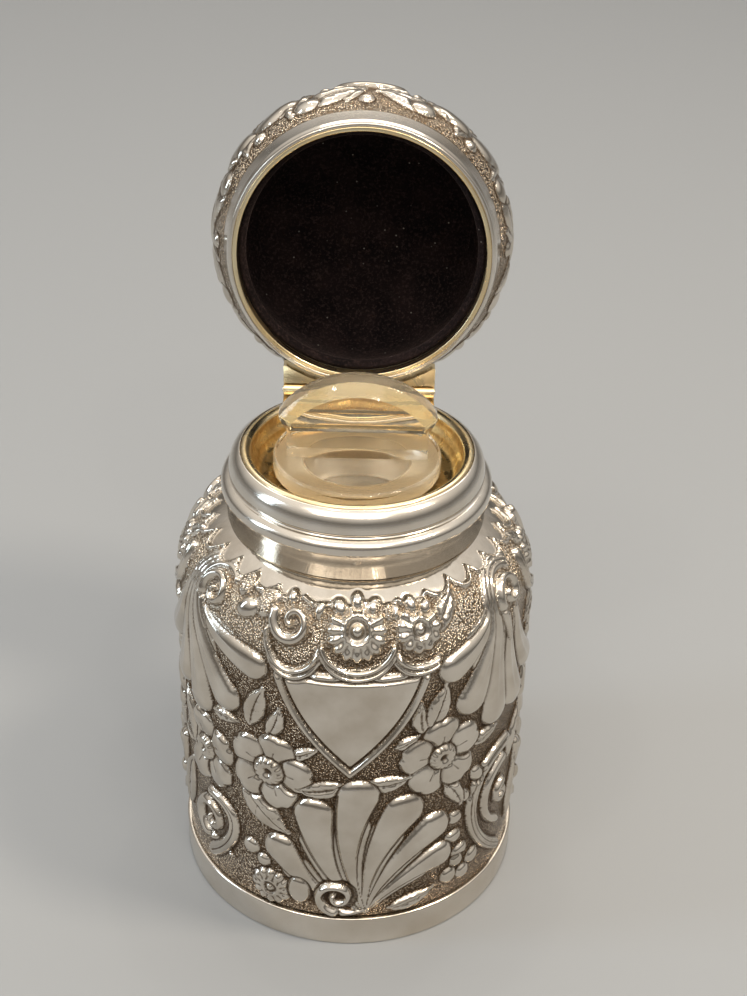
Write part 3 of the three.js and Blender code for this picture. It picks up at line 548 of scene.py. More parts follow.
def case_sheet():
    """One repeat of the case's pattern. Forms that come later lie over those before them."""
    sheet = Sheet(SHEET_W, SHEET_H, *SHEET_CELLS)
    edge = spiked_edge(sheet, 70.2, 16, 34.8)
    side_panel(sheet)
    # Scrolls and shells low on both sides of the palmette
    volute(sheet, (-30, 13), 4.9, -1.15, 250, 1.3, 1.0, [(-28, 8), (-24, 7)])
    ridge(sheet, [(-30, 19.6), (-20.5, 20.5), (-22.3, 11), (-30, 4.5)], 1.1, 1.5, 0.8, 1)
    flower(sheet, (-31.5, 29.5), 5.4, 3.3, 2.7, 30)
    leaf(sheet, (-40, 38), (-36, 27), 2.2, 0.1)
    leaf(sheet, (-41, 8), (-38, 22), 2.6, 0.15)
    ridge(sheet, [(35.5, 30), (23.5, 31), (20.5, 14), (35, 3.5)], 1.6, 1.2, 0.95, 2)
    ridge(sheet, [(35, 26), (28, 25), (27, 15), (34, 11)], 1.1, 0.9, 0.75, 0)
    volute(sheet, (35.2, 17.5), 2.6, 1.1, 90, 0.9)
    for i in range(6):
        angle = radians(128 + 21 * i)
        at = (35 + 14.2 * cos(angle), 17.5 + 13.2 * sin(angle))
        bead(sheet, at, 1.5, 0.7, 2.4, 1.35, degrees(angle))
    leaf(sheet, (40, 7), (43, 20), 2.4, -0.15)
    leaf(sheet, (38, 24), (43, 33), 2.2, 0.1)
    # Upper fans
    swept_fan(
        sheet, (-29.6, 65.6), [(-46.2, 49, 3.0), (-39.8, 43, 3.3), (-32.6, 41.4, 3.6), (-25, 46.2, 3.6)],
        [(-18.4, 56, 3.1, 235)], 1, [(-32, 61), (-30, 58)])
    swept_fan(
        sheet, (34.8, 64.2), [(18.9, 56, 3.1), (23.5, 47.2, 3.6), (30.2, 41.2, 3.6)],
        [(44, 44.8, 3.0, 300), (37.4, 40.8, 3.3, 250)], -1, [(32.4, 59), (33.6, 55)])
    # Leaves and buds between the fans, the shield and the flowers
    leaf(sheet, (-19, 42.5), (-16.2, 51.5), 2.2, 0.08)
    leaf(sheet, (-15.2, 41.5), (-13, 48.2), 1.7, -0.1)
    leaf(sheet, (-28.5, 40.6), (-21.8, 41.4), 1.5, 0.05)
    leaf(sheet, (13.2, 43.6), (12.6, 50), 1.7, 0.1)
    leaf(sheet, (14.6, 44.2), (17.4, 53), 2.3, -0.08)
    leaf(sheet, (24.4, 36), (31.6, 36.4), 1.6, 0.05)
    leaf(sheet, (8.2, 41), (12.6, 43), 1.3)
    leaf(sheet, (-11.2, 37.6), (-5.6, 41), 1.3)
    leaf(sheet, (-20.5, 27.5), (-11.5, 19.5), 3.2, -0.12)
    leaf(sheet, (18.5, 29.5), (22.5, 22.5), 1.8, 0.12)
    flower(sheet, (-15.2, 33.2), 5.4, 3.4, 3.1, 75)
    flower(sheet, (17.5, 36.5), 5.4, 3.4, 2.8, 93)
    leaf(sheet, (-1, 33), (-9.4, 30.6), 1.9, 0.1)
    leaf(sheet, (2.8, 33), (11, 33.8), 2.0, -0.12)
    # Row of small flowers and a scroll over the shield
    matted_bud(sheet, (-17.4, 68.4), 2.3, 1.3, 60)
    bead(sheet, (-21, 66.2), 1.9, 0.9, 2.4, 1.3, 30)
    matted_bud(sheet, (-23.4, 70), 1.9, 1.3, 80)
    bead(sheet, (-6.4, 69.4), 1.2, 0.8, 2, 1.6, 70)
    bead(sheet, (8.2, 69), 1.1, 0.75, 2, 1.5, 110)
    leaf(sheet, (15.4, 64.2), (21, 70), 2.0, 0.08)
    matted_bud(sheet, (5.9, 69.6), 1.9, 1.2, 90)
    daisy(sheet, (12.3, 65.4), 4.5, 11, 1.0)
    daisy(sheet, (0.8, 66.1), 5.8, 16, 1.05)
    volute(sheet, (-11.3, 66.4), 3.8, 1.2, 165, 1.25, 1.05)
    # Palmette
    daisy(sheet, (-15, 4.4), 4.2, 12)
    bead(sheet, (-19.4, 12.6), 1.9, 0.7)
    bead(sheet, (-16.6, 10.4), 1.5, 0.65)
    bead(sheet, (20.6, 5.2), 1.9, 0.7)
    bead(sheet, (24.2, 4.2), 1.7, 0.65)
    bead(sheet, (22.4, 8.2), 1.6, 0.65)
    leaf(sheet, (8, 1.6), (17, 4.2), 1.7, -0.08)
    fan(sheet, (3.4, 1.6), [
        (-13.1, 15.2, 3.3), (17.8, 12.2, 3.0), (-6.5, 25.2, 3.9), (16.4, 20, 3.4), (10.3, 25.8, 3.9),
        (1.7, 30.2, 4.0)], 0.17, 1.45)
    bead(sheet, (-9.2, 5.6), 2.3, 0.85, 3, 1.45, 90)
    volute(sheet, (-2.0, 5.4), 3.9, -1.3, 262, 1.05, 1.15, [(0.4, 1.1), (3.4, 2.2)])
    # Shield and swags
    shield(sheet, 14.5, 58.1, 34.8)
    swag(sheet, [(-15.9, 64.2), (-15.4, 56.6), (-8.2, 55), (-5.4, 62.8)], 0.95)
    swag(sheet, [(15.4, 59.4), (11.6, 57.6), (8, 59.2), (7.3, 62.9)], 0.95)
    swag(sheet, [(-5.4, 63), (-3.6, 57.2), (5.2, 57.2), (7.3, 63)], 1.0)
    # The neck above the border is plain, but for the flowers that reach over it
    polished = np.clip(-edge / 0.3, 0, 1)
    sheet.height = sheet.height * (1 - polished)
    before = sheet.height
    for x, y, radius, tilt in (
            (-2.7, 70.1, 1.4, 130), (0.8, 71.4, 1.3, 90), (4.2, 70.3, 1.4, 50),
            (11.6, 69.9, 1.3, 100), (14.4, 69.0, 1.2, 55), (-12.6, 70.6, 1.2, 110)):
        bead(sheet, (x, y), radius, 0.72, 2.6, 1.25, tilt)
    return sheet, polished * (1 - np.clip((sheet.height - before) / 0.1, 0, 1))


def dome_sheet():
    """One repeat of the lid's pattern: scrolls and flowers round the side, and fans towards the crown."""
    sheet = Sheet(DOME_SHEET_W, DOME_SHEET_H, *DOME_CELLS)
    for i in range(8):
        x = -26.25 + 7.5 * i
        leaf(sheet, (x + 1.4, 1.8), (x + 4.6, 9.2), 1.3, 0.12)
        bead(sheet, (x + 3.9, 2.4), 1.0, 0.75)
        bead(sheet, (x + 6, 9), 0.9, 0.7)
        if i % 2:
            volute(sheet, (x, 6), 2.0, 1.1, 200, 0.75)
        else:
            daisy(sheet, (x, 6), 2.4, 8)
    for x in (-30, 0):
        ridge(sheet, [(x - 10, 8), (x - 7, 24), (x + 8, 22)], 1.0, 1.6, 0.9, 1)
        leaf(sheet, (x - 7.5, 2.6), (x - 0.5, 5.4), 2.3, 0.1)
        leaf(sheet, (x + 9, 2.6), (x + 1.5, 5.0), 2.3, -0.1)
        volute(sheet, (x + 1.5, 12), 4.6, 1.3, 200, 1.35, 1.1)
        leaf(sheet, (x - 4, 20.5), (x + 5, 19.5), 2.2, 0.2)
    for x in (-15, 15):
        fan(sheet, (x, 35), [(x - 8, 27.2, 3.3), (x + 8, 27.2, 3.3), (x, 23.6, 3.6)], (0.3, 0.4))
        leaf(sheet, (x - 8.5, 17), (x - 5, 24.5), 2.3, 0.1)
        leaf(sheet, (x + 8.5, 17), (x + 5, 24.5), 2.3, -0.1)
        flower(sheet, (x, 11), 4.9, 3.2, 2.5, 90, 1.0, 12)
        bead(sheet, (x - 7.4, 3.2), 1.7, 0.75)
        bead(sheet, (x + 7.4, 3.2), 1.7, 0.75)
    # A button on the crown, where the fans meet
    share = (DOME_SHEET_H - sheet.y) / 2.6
    sheet.lift(share, 0.55 + 0.45 * pillow(share / 0.55, 2), 2.6)
    return sheet


def relief_on(name, profile, sheet, polished, depth, inner, crown=False):
    """A turned wall that carries two repeats of a sheet outside and a plain profile inside.

    Both profiles go up outside and come back inside. A crown closes them where they near the axis.
    """
    rows, columns = sheet.height.shape
    around = columns * 2
    cell = sheet.width / columns
    fine, narrow, broad = (blurred(sheet.height, sigma / cell) for sigma in (0.2, 0.45, 1.1))
    # Cavity marks the recesses, where the material paints grime and shade.
    cavity = np.clip(np.maximum((broad - sheet.height) / 0.35, (narrow - sheet.height) / 0.14), 0, 1)
    ground = np.maximum(np.exp(-(np.clip(sheet.height, 0, None) / 0.14) ** 2), sheet.matted) * (1 - polished)
    profile = evenly(profile, rows)
    along = np.gradient(profile, axis=0)
    along /= np.linalg.norm(along, axis=1)[:, None]
    row = np.arange(rows)
    fade = np.clip(np.minimum(row, row[::-1]) / 3, 0, 1)
    rise = np.tile(fine, (1, 2)) * depth * fade[:, None]
    plain = np.zeros((len(inner), around))
    inner_r, inner_z = np.asarray(inner, float).T[:, :, None] + plain
    radius = np.vstack([profile[:, :1] + rise * along[:, 1:], inner_r])
    height = np.vstack([profile[:, 1:] - rise * along[:, :1], inner_z])
    verts = spun(radius, height, -pi)
    faces = grid_faces(len(radius), around, True)
    fields = {"ground": ground, "cavity": cavity}
    values = {key: np.vstack([np.tile(field, (1, 2)), plain]).ravel() for key, field in fields.items()}
    if crown:
        verts, faces = crowned(verts, faces, rows, around)
        values = {key: np.append(value, [0, 0]) for key, value in values.items()}
    return smooth_mesh(name, verts, faces, **values)


def crowned(verts, faces, rows, around):
    """Puts a fan on the last outer ring and one on the first inner ring, in place of the band between."""
    top, outer, inner = len(verts), (rows - 1) * around, rows * around
    tops = [[0, 0, verts[ring][2]] for ring in (outer, inner)]
    fans = fan_faces(top, outer, around, False) + fan_faces(top + 1, inner, around, True)
    return np.vstack([verts, tops]), faces[:outer] + fans + faces[inner:]


# Materials

class Nodes:
    """Short calls for the nodes of a material or world that end in one shader."""

    def __init__(self, owner, shader, **values):
        owner.use_nodes = True
        self.owner = owner
        self.tree = owner.node_tree
        self.shader = self.tree.nodes[shader]
        self.set(**values)

    def set(self, **values):
        """Sets or links inputs of the shader."""
        for key, value in values.items():
            self.plug(value, self.shader.inputs[key.replace("_", " ")])

    def plug(self, value, socket):
        if isinstance(value, bpy.types.NodeSocket):
            self.tree.links.new(value, socket)
        else:
            socket.default_value = value

    def node(self, kind, output, inputs=None, **settings):
        """One output of a new node."""
        node = self.tree.nodes.new("ShaderNode" + kind)
        for key, value in settings.items():
            setattr(node, key, value)
        for key, value in (inputs or {}).items():
            self.plug(value, node.inputs[key])
        return node.outputs[output]

    def place(self):
        return self.node("TexCoord", "Object")

    def noise(self, scale, detail=3.0, rough=0.5, vector=None):
        inputs = {"Vector": vector or self.place(), "Scale": scale, "Detail": detail, "Roughness": rough}
        return self.node("TexNoise", "Fac", inputs)

    def cells(self, scale):
        return self.node("TexVoronoi", "Distance", {"Vector": self.place(), "Scale": scale})

    def value(self, attribute):
        return self.node("Attribute", "Fac", attribute_name=attribute)

    def ranged(self, value, low, high, out_low=0.0, out_high=1.0):
        inputs = {"Value": value, "From Min": low, "From Max": high, "To Min": out_low, "To Max": out_high}
        return self.node("MapRange", "Result", inputs)

    def cloud(self, scale, detail=4):
        """Broad soft patches."""
        return self.ranged(self.noise(scale, detail), 0.35, 0.7)

    def plus(self, a, b):
        return self.node("Math", 0, {0: a, 1: b}, operation="ADD")

    def times(self, a, b):
        return self.node("Math", 0, {0: a, 1: b}, operation="MULTIPLY")

    def blend(self, share, a, b):
        """A colour from a to b, each of them linked or given as red, green and blue."""
        a, b = ((*color, 1) if isinstance(color, tuple) else color for color in (a, b))
        return self.node("Mix", 2, {"Factor": share, 6: a, 7: b}, data_type="RGBA")

    def bump(self, height, distance, strength=1.0, **below):
        inputs = {"Height": height, "Distance": distance, "Strength": strength, **below}
        return self.node("Bump", "Normal", inputs)

    def lets_light_in(self):
        """An alpha that lets lamps shine through glass, which otherwise throws a black shadow."""
        return self.ranged(self.node("LightPath", "Is Shadow Ray"), 0, 1, 1.0, 0.12)


def finish(name, **values):
    return Nodes(bpy.data.materials.new(name), "Principled BSDF", **values)


def chased_silver():
    """Polished forms on a ground of punched dots that has darkened, with grime and painted shade in the
    recesses.
    """
    f = finish("chased_silver", Metallic=1.0)
    ground, cavity = f.value("ground"), f.value("cavity")
    cloud = f.cloud(160)
    dots = f.cells(2700)
    high = f.node("SeparateXYZ", "Z", {0: f.place()})
    # Painted highlight: the shoulder band faces up to the lamps, so its punched ground is painted lighter
    # there and its recesses darken less.
    shoulder = f.times(f.ranged(high, 0.058, 0.070), f.ranged(high, 0.080, 0.086, 1.0, 0.25))
    formed = f.blend(cloud, (0.72, 0.665, 0.585), (0.57, 0.51, 0.43))
    punched = f.blend(f.ranged(dots, 0.2, 0.6), (0.74, 0.62, 0.48), (0.13, 0.085, 0.05))
    painted_lit_punched = f.blend(f.ranged(dots, 0.25, 0.7), (0.88, 0.81, 0.70), (0.36, 0.27, 0.18))
    metal = f.blend(ground, formed, f.blend(shoulder, punched, painted_lit_punched))
    # Recesses darken with grime and with painted shade, which is weaker on the shoulder's painted highlight.
    grime_and_shade = f.times(f.ranged(cavity, 0.25, 1.0), f.ranged(shoulder, 0, 1, 0.95, 0.45))
    f.set(Base_Color=f.blend(grime_and_shade, metal, (0.10, 0.065, 0.038)))
    dull = f.plus(f.times(ground, 0.1), f.times(cavity, 0.2))
    f.set(Roughness=f.plus(f.ranged(cloud, 0, 1, 0.06, 0.13), dull))
    raised = f.times(f.ranged(dots, 0.1, 0.7, 1.0, 0.0), ground)
    f.set(Normal=f.bump(raised, 0.00024, Normal=f.bump(f.noise(420), 0.0001, 0.5)))
    return f.owner


def polished_silver():
    """Bright silver with soft waves from handling, faint scratches and slight yellowing."""
    f = finish("polished_silver", Metallic=1.0)
    cloud = f.cloud(90, 5)
    f.set(Base_Color=f.blend(cloud, (0.80, 0.75, 0.675), (0.66, 0.595, 0.505)))
    stretch = f.node("Mapping", 0, {"Vector": f.place(), "Scale": (1, 1, 9)})
    fine = f.noise(1500, 3, 0.6, stretch)
    f.set(Roughness=f.plus(f.ranged(cloud, 0, 1, 0.11, 0.18), f.ranged(fine, 0.45, 0.75, 0, 0.1)))
    f.set(Normal=f.bump(fine, 0.00001, 0.5, Normal=f.bump(f.noise(120, 2), 0.0003, 0.35)))
    return f.owner


def gilding():
    """Warm gold wash, paler where it is rubbed and brown where dirt has stayed."""
    f = finish("gilding", Metallic=1.0)
    dirt = f.ranged(f.noise(260, 6, 0.65), 0.38, 0.62)
    gold = f.blend(f.ranged(f.noise(70), 0.3, 0.7), (0.86, 0.66, 0.33), (0.72, 0.50, 0.21))
    f.set(Base_Color=f.blend(f.times(dirt, 0.75), gold, (0.27, 0.155, 0.05)))
    f.set(Roughness=f.ranged(dirt, 0, 1, 0.2, 0.42), Normal=f.bump(f.noise(500, 4), 0.00006, 0.6))
    return f.owner


def pale_gilding():
    """Gilding on polished edges: paler and brighter than in the dish."""
    f = finish("pale_gilding", Metallic=1.0)
    cloud = f.cloud(120)
    f.set(Base_Color=f.blend(cloud, (0.93, 0.80, 0.53), (0.84, 0.66, 0.38)))
    f.set(Roughness=f.ranged(cloud, 0, 1, 0.18, 0.34))
    return f.owner


def clear_glass():
    """Old clear glass, slightly warm, with small waves in its surface."""
    f = finish("clear_glass", Transmission_Weight=0.96, IOR=1.5, Base_Color=(0.98, 0.90, 0.74, 1))
    f.set(Roughness=f.ranged(f.noise(200, 4), 0.5, 0.75, 0.0, 0.05), Alpha=f.lets_light_in())
    f.set(Normal=f.bump(f.noise(110, 2), 0.00025, 0.5))
    return f.owner


def painted_gilt_reflection_glass():
    """The bevels of the grip, which catch the light of the gilding: its gold reflection is painted into their
    colour.
    """
    f = finish("painted_gilt_reflection_glass", Transmission_Weight=0.72, IOR=1.5, Roughness=0.08)
    f.set(Base_Color=f.blend(f.noise(300, 4), (0.99, 0.86, 0.53), (0.93, 0.72, 0.33)))
    f.set(Alpha=f.lets_light_in(), Normal=f.bump(f.noise(600), 0.0001, 0.6))
    return f.owner


def ground_glass():
    """Glass ground to fit its seat: pale, with a fine grain and a painted gold glow from the gilding's light.
    """
    f = finish("ground_glass", Transmission_Weight=0.78, IOR=1.5, Roughness=0.3)
    grain = f.noise(2200, 3, 0.7)
    # The gold tint is painted light from the gilding.
    f.set(Base_Color=f.blend(f.ranged(grain, 0.35, 0.65), (0.76, 0.60, 0.36), (0.62, 0.46, 0.25)))
    f.set(Normal=f.bump(grain, 0.00005, 0.6))
    return f.owner


def velvet():
    """Short dark pile with a faint burgundy sheen, brushed unevenly, and a few specks of lint."""
    f = finish("velvet", Roughness=0.95, Sheen_Weight=0.24, Sheen_Roughness=0.4)
    f.set(Sheen_Tint=(0.40, 0.29, 0.27, 1), Specular_IOR_Level=0.08)
    pile = f.blend(f.cloud(150), (0.004, 0.003, 0.0035), (0.013, 0.008, 0.008))
    tips = f.ranged(f.noise(1700, 3, 0.75), 0.5, 0.72, 0.0, 0.8)
    nap = f.blend(tips, pile, (0.045, 0.029, 0.027))
    speck = f.ranged(f.cells(420), 0.0, 0.09, 1.0, 0.0)
    f.set(Base_Color=f.blend(f.times(speck, 0.6), nap, (0.45, 0.42, 0.38)))
    f.set(Normal=f.bump(f.noise(2600, 2, 0.7), 0.0002, 0.8))
    return f.owner


def fibre(name, light, dark, scale):
    """A dull packing material, mottled."""
    f = finish(name, Roughness=0.9)
    grain = f.noise(scale, 5, 0.7)
    f.set(Base_Color=f.blend(f.ranged(grain, 0.35, 0.65), light, dark), Normal=f.bump(grain, 0.0002, 0.6))
    return f.owner


CHASED = chased_silver()
SILVER = polished_silver()
GILT = gilding()
PALE_GILT = pale_gilding()
GLASS = clear_glass()
PAINTED_GILT_REFLECTION_GLASS = painted_gilt_reflection_glass()
GROUND_GLASS = ground_glass()
VELVET = velvet()
CARD = fibre("card", (0.50, 0.42, 0.30), (0.38, 0.31, 0.21), 900)
CORK = fibre("cork", (0.62, 0.44, 0.28), (0.40, 0.26, 0.15), 500)
PLASTER = fibre("plaster", (0.80, 0.77, 0.70), (0.66, 0.62, 0.54), 700)


# Case and foot

def case_curve(inset):
    """The case's shoulder, from its straight wall up to the neck."""
    r, neck = GROUND_R - inset, NECK_R - inset
    low, high = SHOULDER_Z - inset, NECK_Z - inset
    deep = high - low
    return bezier([
        (r, low), (r, low + 0.62 * deep), (neck + 0.68 * (r - neck), high - 0.15 * deep), (neck, high)], 60)


def make_case():
    sheet, polished = case_sheet()
    outer = [(GROUND_R - GROUND_SINK, CASE_LOW), *case_curve(GROUND_SINK)]
    neck_in = FLANGE_R - FLANGE_WALL
    inner = [p for p in case_curve(WALL) if p[0] > neck_in][::-6]
    inside = [
        (FLANGE_R, NECK_Z), (FLANGE_R, FLANGE_TOP), (neck_in, FLANGE_TOP), (neck_in, NECK_Z - WALL),
        *inner, (GROUND_R - WALL, CASE_LOW)]
    piece = relief_on("case", outer, sheet, polished, RELIEF, inside)
    dress(piece, CHASED, "bottle", "case_wall")


def make_foot():
    band = rounded(block(FOOT_R - FOOT_WALL, FOOT_R, FOOT_LOW, FOOT_TOP), [0.1, 0.4, 0.5, 0.1])
    dress(turned("foot", band), SILVER, "bottle", "foot_band")
    plate = rounded(block(0, PLATE_R, PLATE_LOW, PLATE_TOP), [0, 0.2, 0.2, 0])
    dress(turned("base", plate), SILVER, "bottle", "base_plate")


# Neck collar and gilt dish

def make_collar():
    band_top = COLLAR_LOW + 3.3
    bead_z = band_top + 3
    groove_z = bead_z + 1.7
    roll_z = groove_z + 1.1
    bead_r = COLLAR_R
    roll_r = COLLAR_R - 1.4
    groove_r = roll_r - 0.5
    foot_r = NECK_R - 1
    bore_r = 21.4
    lip_r = 20.6
    outer = [
        (foot_r, COLLAR_LOW), (NECK_R, COLLAR_LOW), (NECK_R, band_top - 0.2), (NECK_R + 0.4, band_top + 0.3),
        *bezier([(NECK_R + 0.45, bead_z - 1.7), (bead_r + 0.1, bead_z - 1.3), (bead_r, bead_z)], 8),
        *bezier([(bead_r, bead_z), (bead_r - 0.05, bead_z + 1.2), (groove_r, groove_z - 0.15)], 8)[1:],
        *bezier([(groove_r, groove_z), (roll_r + 0.1, groove_z + 0.3), (roll_r, roll_z + 0.3)], 7),
        *bezier([(roll_r, roll_z + 0.3), (roll_r - 0.3, LIP_Z - 0.9), (lip_r + 0.3, LIP_Z - 0.15)], 12)[1:],
        (lip_r, LIP_Z - 0.2), (lip_r, LIP_Z - 0.9), (bore_r, roll_z), (bore_r, bead_z), (foot_r, band_top)]
    dress(turned("collar", outer), SILVER, "bottle", "neck_collar")


def make_dish():
    edge_r, wall_r = 20.55, 18.9
    bend_r, flat_r = 17.6, 16.6
    hole_r = GLASS_NECK_R + CLEARANCE
    floor_z = LIP_Z - 5.2
    under_z = floor_z - 0.7
    profile = [
        (edge_r, LIP_Z - 0.4),
        *bezier([
            (edge_r, LIP_Z - 0.15), (edge_r - 0.5, LIP_Z + 0.18), (wall_r + 0.35, LIP_Z + 0.1),
            (wall_r, LIP_Z - 0.6)], 8),
        (wall_r, LIP_Z - 1.2), (wall_r - 0.25, floor_z + 2.2), (wall_r - 0.75, floor_z + 1.9),
        *bezier([(wall_r - 0.8, floor_z + 1.6), (bend_r, floor_z), (flat_r, floor_z)], 8),
        (hole_r, floor_z), (hole_r, under_z), (bend_r, under_z), (bend_r + 0.9, floor_z + 0.6),
        (wall_r + 0.6, floor_z + 2.0), (wall_r + 0.7, LIP_Z - 0.9)]
    piece = turned("gilt_dish", profile)
    dress(piece, GILT, "bottle", "neck_gilt_dish")
    refinish(piece, PALE_GILT, 25, LIP_Z - 0.5, LIP_Z + 1)


# Glass

def make_bottle():
    inner_r = GLASS_R - 3
    floor = GLASS_LOW + 5
    bore_top, bore_end = 9.7, 8.7
    z = GLASS_SHOULDER_Z
    outer = rounded([
        (0, GLASS_LOW + 1.2), (GLASS_R - 6, GLASS_LOW + 1.2), (GLASS_R - 5, GLASS_LOW), (GLASS_R, GLASS_LOW),
        (GLASS_R, z + 6), (GLASS_R - 9, z + 11), (GLASS_NECK_R, z + 12.5), (GLASS_NECK_R, GLASS_LIP),
        (bore_top, GLASS_LIP), (bore_end, PLUG_END - 1), (bore_end + 2, z + 7.5), (inner_r, z + 4),
        (inner_r, floor), (0, floor)],
        [0, 1, 0.5, 2, 6, 5, 2, 0.5, 0.3, 0.5, 2, 5, 4, 0], 8)
    piece = turned("inner_bottle", outer, 128)
    dress(piece, GLASS, "bottle", "glass_bottle")
    refinish(piece, GROUND_GLASS, 11, PLUG_END - 1, GLASS_LIP - 0.4)


def bevelled_moon():
    """The stopper's half-moon grip: an arc over a short heel, bevelled all round."""
    heel_z = DISC_TOP + STEM_H + HEEL_H
    radius = (GRIP_HALF ** 2 + GRIP_RISE ** 2) / (2 * GRIP_RISE)
    centre = heel_z + GRIP_RISE - radius
    end = asin((heel_z - centre) / radius)
    arc = polar((0, centre), radius, np.linspace(end, pi - end, 61))
    outline = np.array([(-STEM_HALF, heel_z - HEEL_H), (STEM_HALF, heel_z - HEEL_H), *arc])
    count = len(outline)
    face = inset_outline(outline, GRIP_BEVEL)
    half = GRIP_T / 2
    rings = [(face, -half), (outline, GRIP_BEVEL - half), (outline, half - GRIP_BEVEL), (face, half)]
    verts = [(x, y, z) for ring, y in rings for x, z in ring]
    last = 3 * count
    ends = [list(range(count))[::-1], list(range(last, last + count))]
    return smooth_mesh("moon", verts, grid_faces(4, count, False) + ends)


def inset_outline(outline, distance):
    """An outline moved inward by a distance, along the bisectors of its corners."""
    into = outline - np.roll(outline, 1, axis=0)
    into /= np.linalg.norm(into, axis=1)[:, None]
    out = np.roll(into, -1, axis=0)
    normal_in, normal_out = (np.stack([-way[:, 1], way[:, 0]], axis=-1) for way in (into, out))
    bisector = normal_in + normal_out
    length = np.clip((bisector * normal_in).sum(axis=1), 0.6, None)
    return outline + bisector * (distance / length)[:, None]


def modify(piece, kind, **settings):
    """Applies one modifier to a piece."""
    modifier = piece.modifiers.new(kind, kind)
    for key, value in settings.items():
        setattr(modifier, key, value)
    bpy.context.view_layer.objects.active = piece
    bpy.ops.object.modifier_apply(modifier=modifier.name)


def make_stopper():
    disc_low = DISC_TOP - DISC_T
    plug_r, plug_end_r = 9.4, 8.4
    profile = rounded([
        (0, PLUG_END), (plug_end_r, PLUG_END), (plug_r, disc_low), (DISC_R, disc_low), (DISC_R, DISC_TOP),
        (0, DISC_TOP)],
        [0, 0.6, 0.5, 0.5, 0.7, 0], 6)
    piece = turned("stopper", profile, 128)
    half, low, high = STEM_T / 2, DISC_TOP - 1, DISC_TOP + 6
    corners = [(x, y, z) for x in (-STEM_HALF, STEM_HALF) for y in (-half, half) for z in (low, high)]
    sides = [[0, 1, 3, 2], [4, 6, 7, 5], [0, 4, 5, 1], [2, 3, 7, 6], [0, 2, 6, 4], [1, 5, 7, 3]]
    for other in (bevelled_moon(), smooth_mesh("stem", corners, sides)):
        modify(piece, "BOOLEAN", operation="UNION", object=other, solver="EXACT")
        bpy.data.objects.remove(other, do_unlink=True)
    sharp = radians(28)
    modify(piece, "BEVEL", width=0.14 * MM, segments=2, limit_method="ANGLE", angle_limit=sharp)
    piece.data.shade_smooth()
    piece.data.set_sharp_from_angle(angle=sharp)
    dress(piece, GLASS, "stopper", "glass_stopper")
    refinish(piece, GROUND_GLASS, DISC_R - 0.9, PLUG_END - 1, disc_low + 0.05)
    # The grip's front faces that look up get the painted gold reflection of the gilding.
    piece.data.materials.append(PAINTED_GILT_REFLECTION_GLASS)
    for polygon in piece.data.polygons:
        front = polygon.normal.y < -0.3 and polygon.normal.z > 0.25
        if front and polygon.center.z > (DISC_TOP + 5) * MM:
            polygon.material_index = 2


# Lid

def dome_curve(inset):
    """The dome's side and top, from its rim nearly to the axis."""
    crown = DOME_Z + DOME_H - inset
    r = DOME_R - inset
    waist = (r - 0.4, DOME_Z + 0.45 * DOME_H)
    foot = (RIM_TOP_R - inset, DOME_Z)
    lower = bezier([foot, (r, DOME_Z + 0.12 * DOME_H), (r + 0.6, DOME_Z + 0.3 * DOME_H), waist], 24)
    side = (r - 2.6, DOME_Z + 0.85 * DOME_H - inset)
    upper = bezier([waist, side, (0.55 * DOME_R, crown), (0, crown)], 48)
    return [tuple(p) for p in (*lower, *upper[1:]) if p[0] > CROWN_GAP]


def make_dome():
    inner = dome_curve(LID_WALL)[::-4]
    piece = relief_on("dome", dome_curve(0), dome_sheet(), 0, DOME_RELIEF, inner, crown=True)
    dress(open_lid(piece), CHASED, "lid", "lid_dome")


def make_rim():
    seat_r = MOUTH_R + 0.9
    profile = [
        *bezier([(seat_r, MOUTH_Z + 0.1), (seat_r + 0.1, MOUTH_Z), (seat_r + 0.2, MOUTH_Z)], 4),
        *bezier([(RIM_R - 0.3, MOUTH_Z), (RIM_R, MOUTH_Z), (RIM_R, MOUTH_Z + 0.35)], 5),
        (RIM_R + 0.12, MOUTH_Z + 0.9), (RIM_R + 0.34, MOUTH_Z + 1.2),
        *bezier([(RIM_R + 0.4, MOUTH_Z + 1.5), (RIM_R + 0.7, RIM_TOP_Z - 2.2), (RIM_TOP_R, RIM_TOP_Z)], 12),
        (RIM_TOP_R - LID_WALL, RIM_TOP_Z), (RIM_R - 0.3, RIM_TOP_Z - 1.7), (seat_r, MOUTH_Z + 3.4)]
    dress(open_lid(turned("rim", profile)), SILVER, "lid", "lid_rim")
    edge_r, back_r = MOUTH_R + 0.87, MOUTH_R + 0.6
    edge = rounded([
        (MOUTH_R, MOUTH_Z), (edge_r, MOUTH_Z), (edge_r, MOUTH_Z + 0.8), (back_r, MOUTH_Z + 1),
        (back_r, MOUTH_Z + 2.6), (MOUTH_R, MOUTH_Z + 2.6)],
        [0.3, 0.2, 0.1, 0.1, 0.1, 0.1])
    dress(open_lid(turned("rim_lining", edge)), PALE_GILT, "lid", "lid_gilt_liner")


def make_lining():
    """The lining: pile that rolls in round the mouth and follows the dome inside."""
    outer_inset = LID_WALL + VELVET_INSET
    inner_inset = outer_inset + VELVET_T
    z = VELVET_FOOT_Z
    outer = [p for p in dome_curve(outer_inset) if p[1] > z + 1.4]
    inner = [p for p in dome_curve(inner_inset) if p[1] > z + 3]
    mouth = rounded([
        (24.4, z + 2.2), (22.9, z), (22.6, z), (21.5, LIP_Z + CLEARANCE), (24.2, z + 4.4)],
        [0, 0.3, 0.3, 0.9, 0])
    crown = DOME_Z + DOME_H
    profile = [(0, crown - outer_inset), *outer[::-1], *mouth, *inner, (0, crown - inner_inset)]
    piece = turned("velvet", profile, 192)
    dress(open_lid(piece), VELVET, "lid", "velvet_lining")


# Hinge

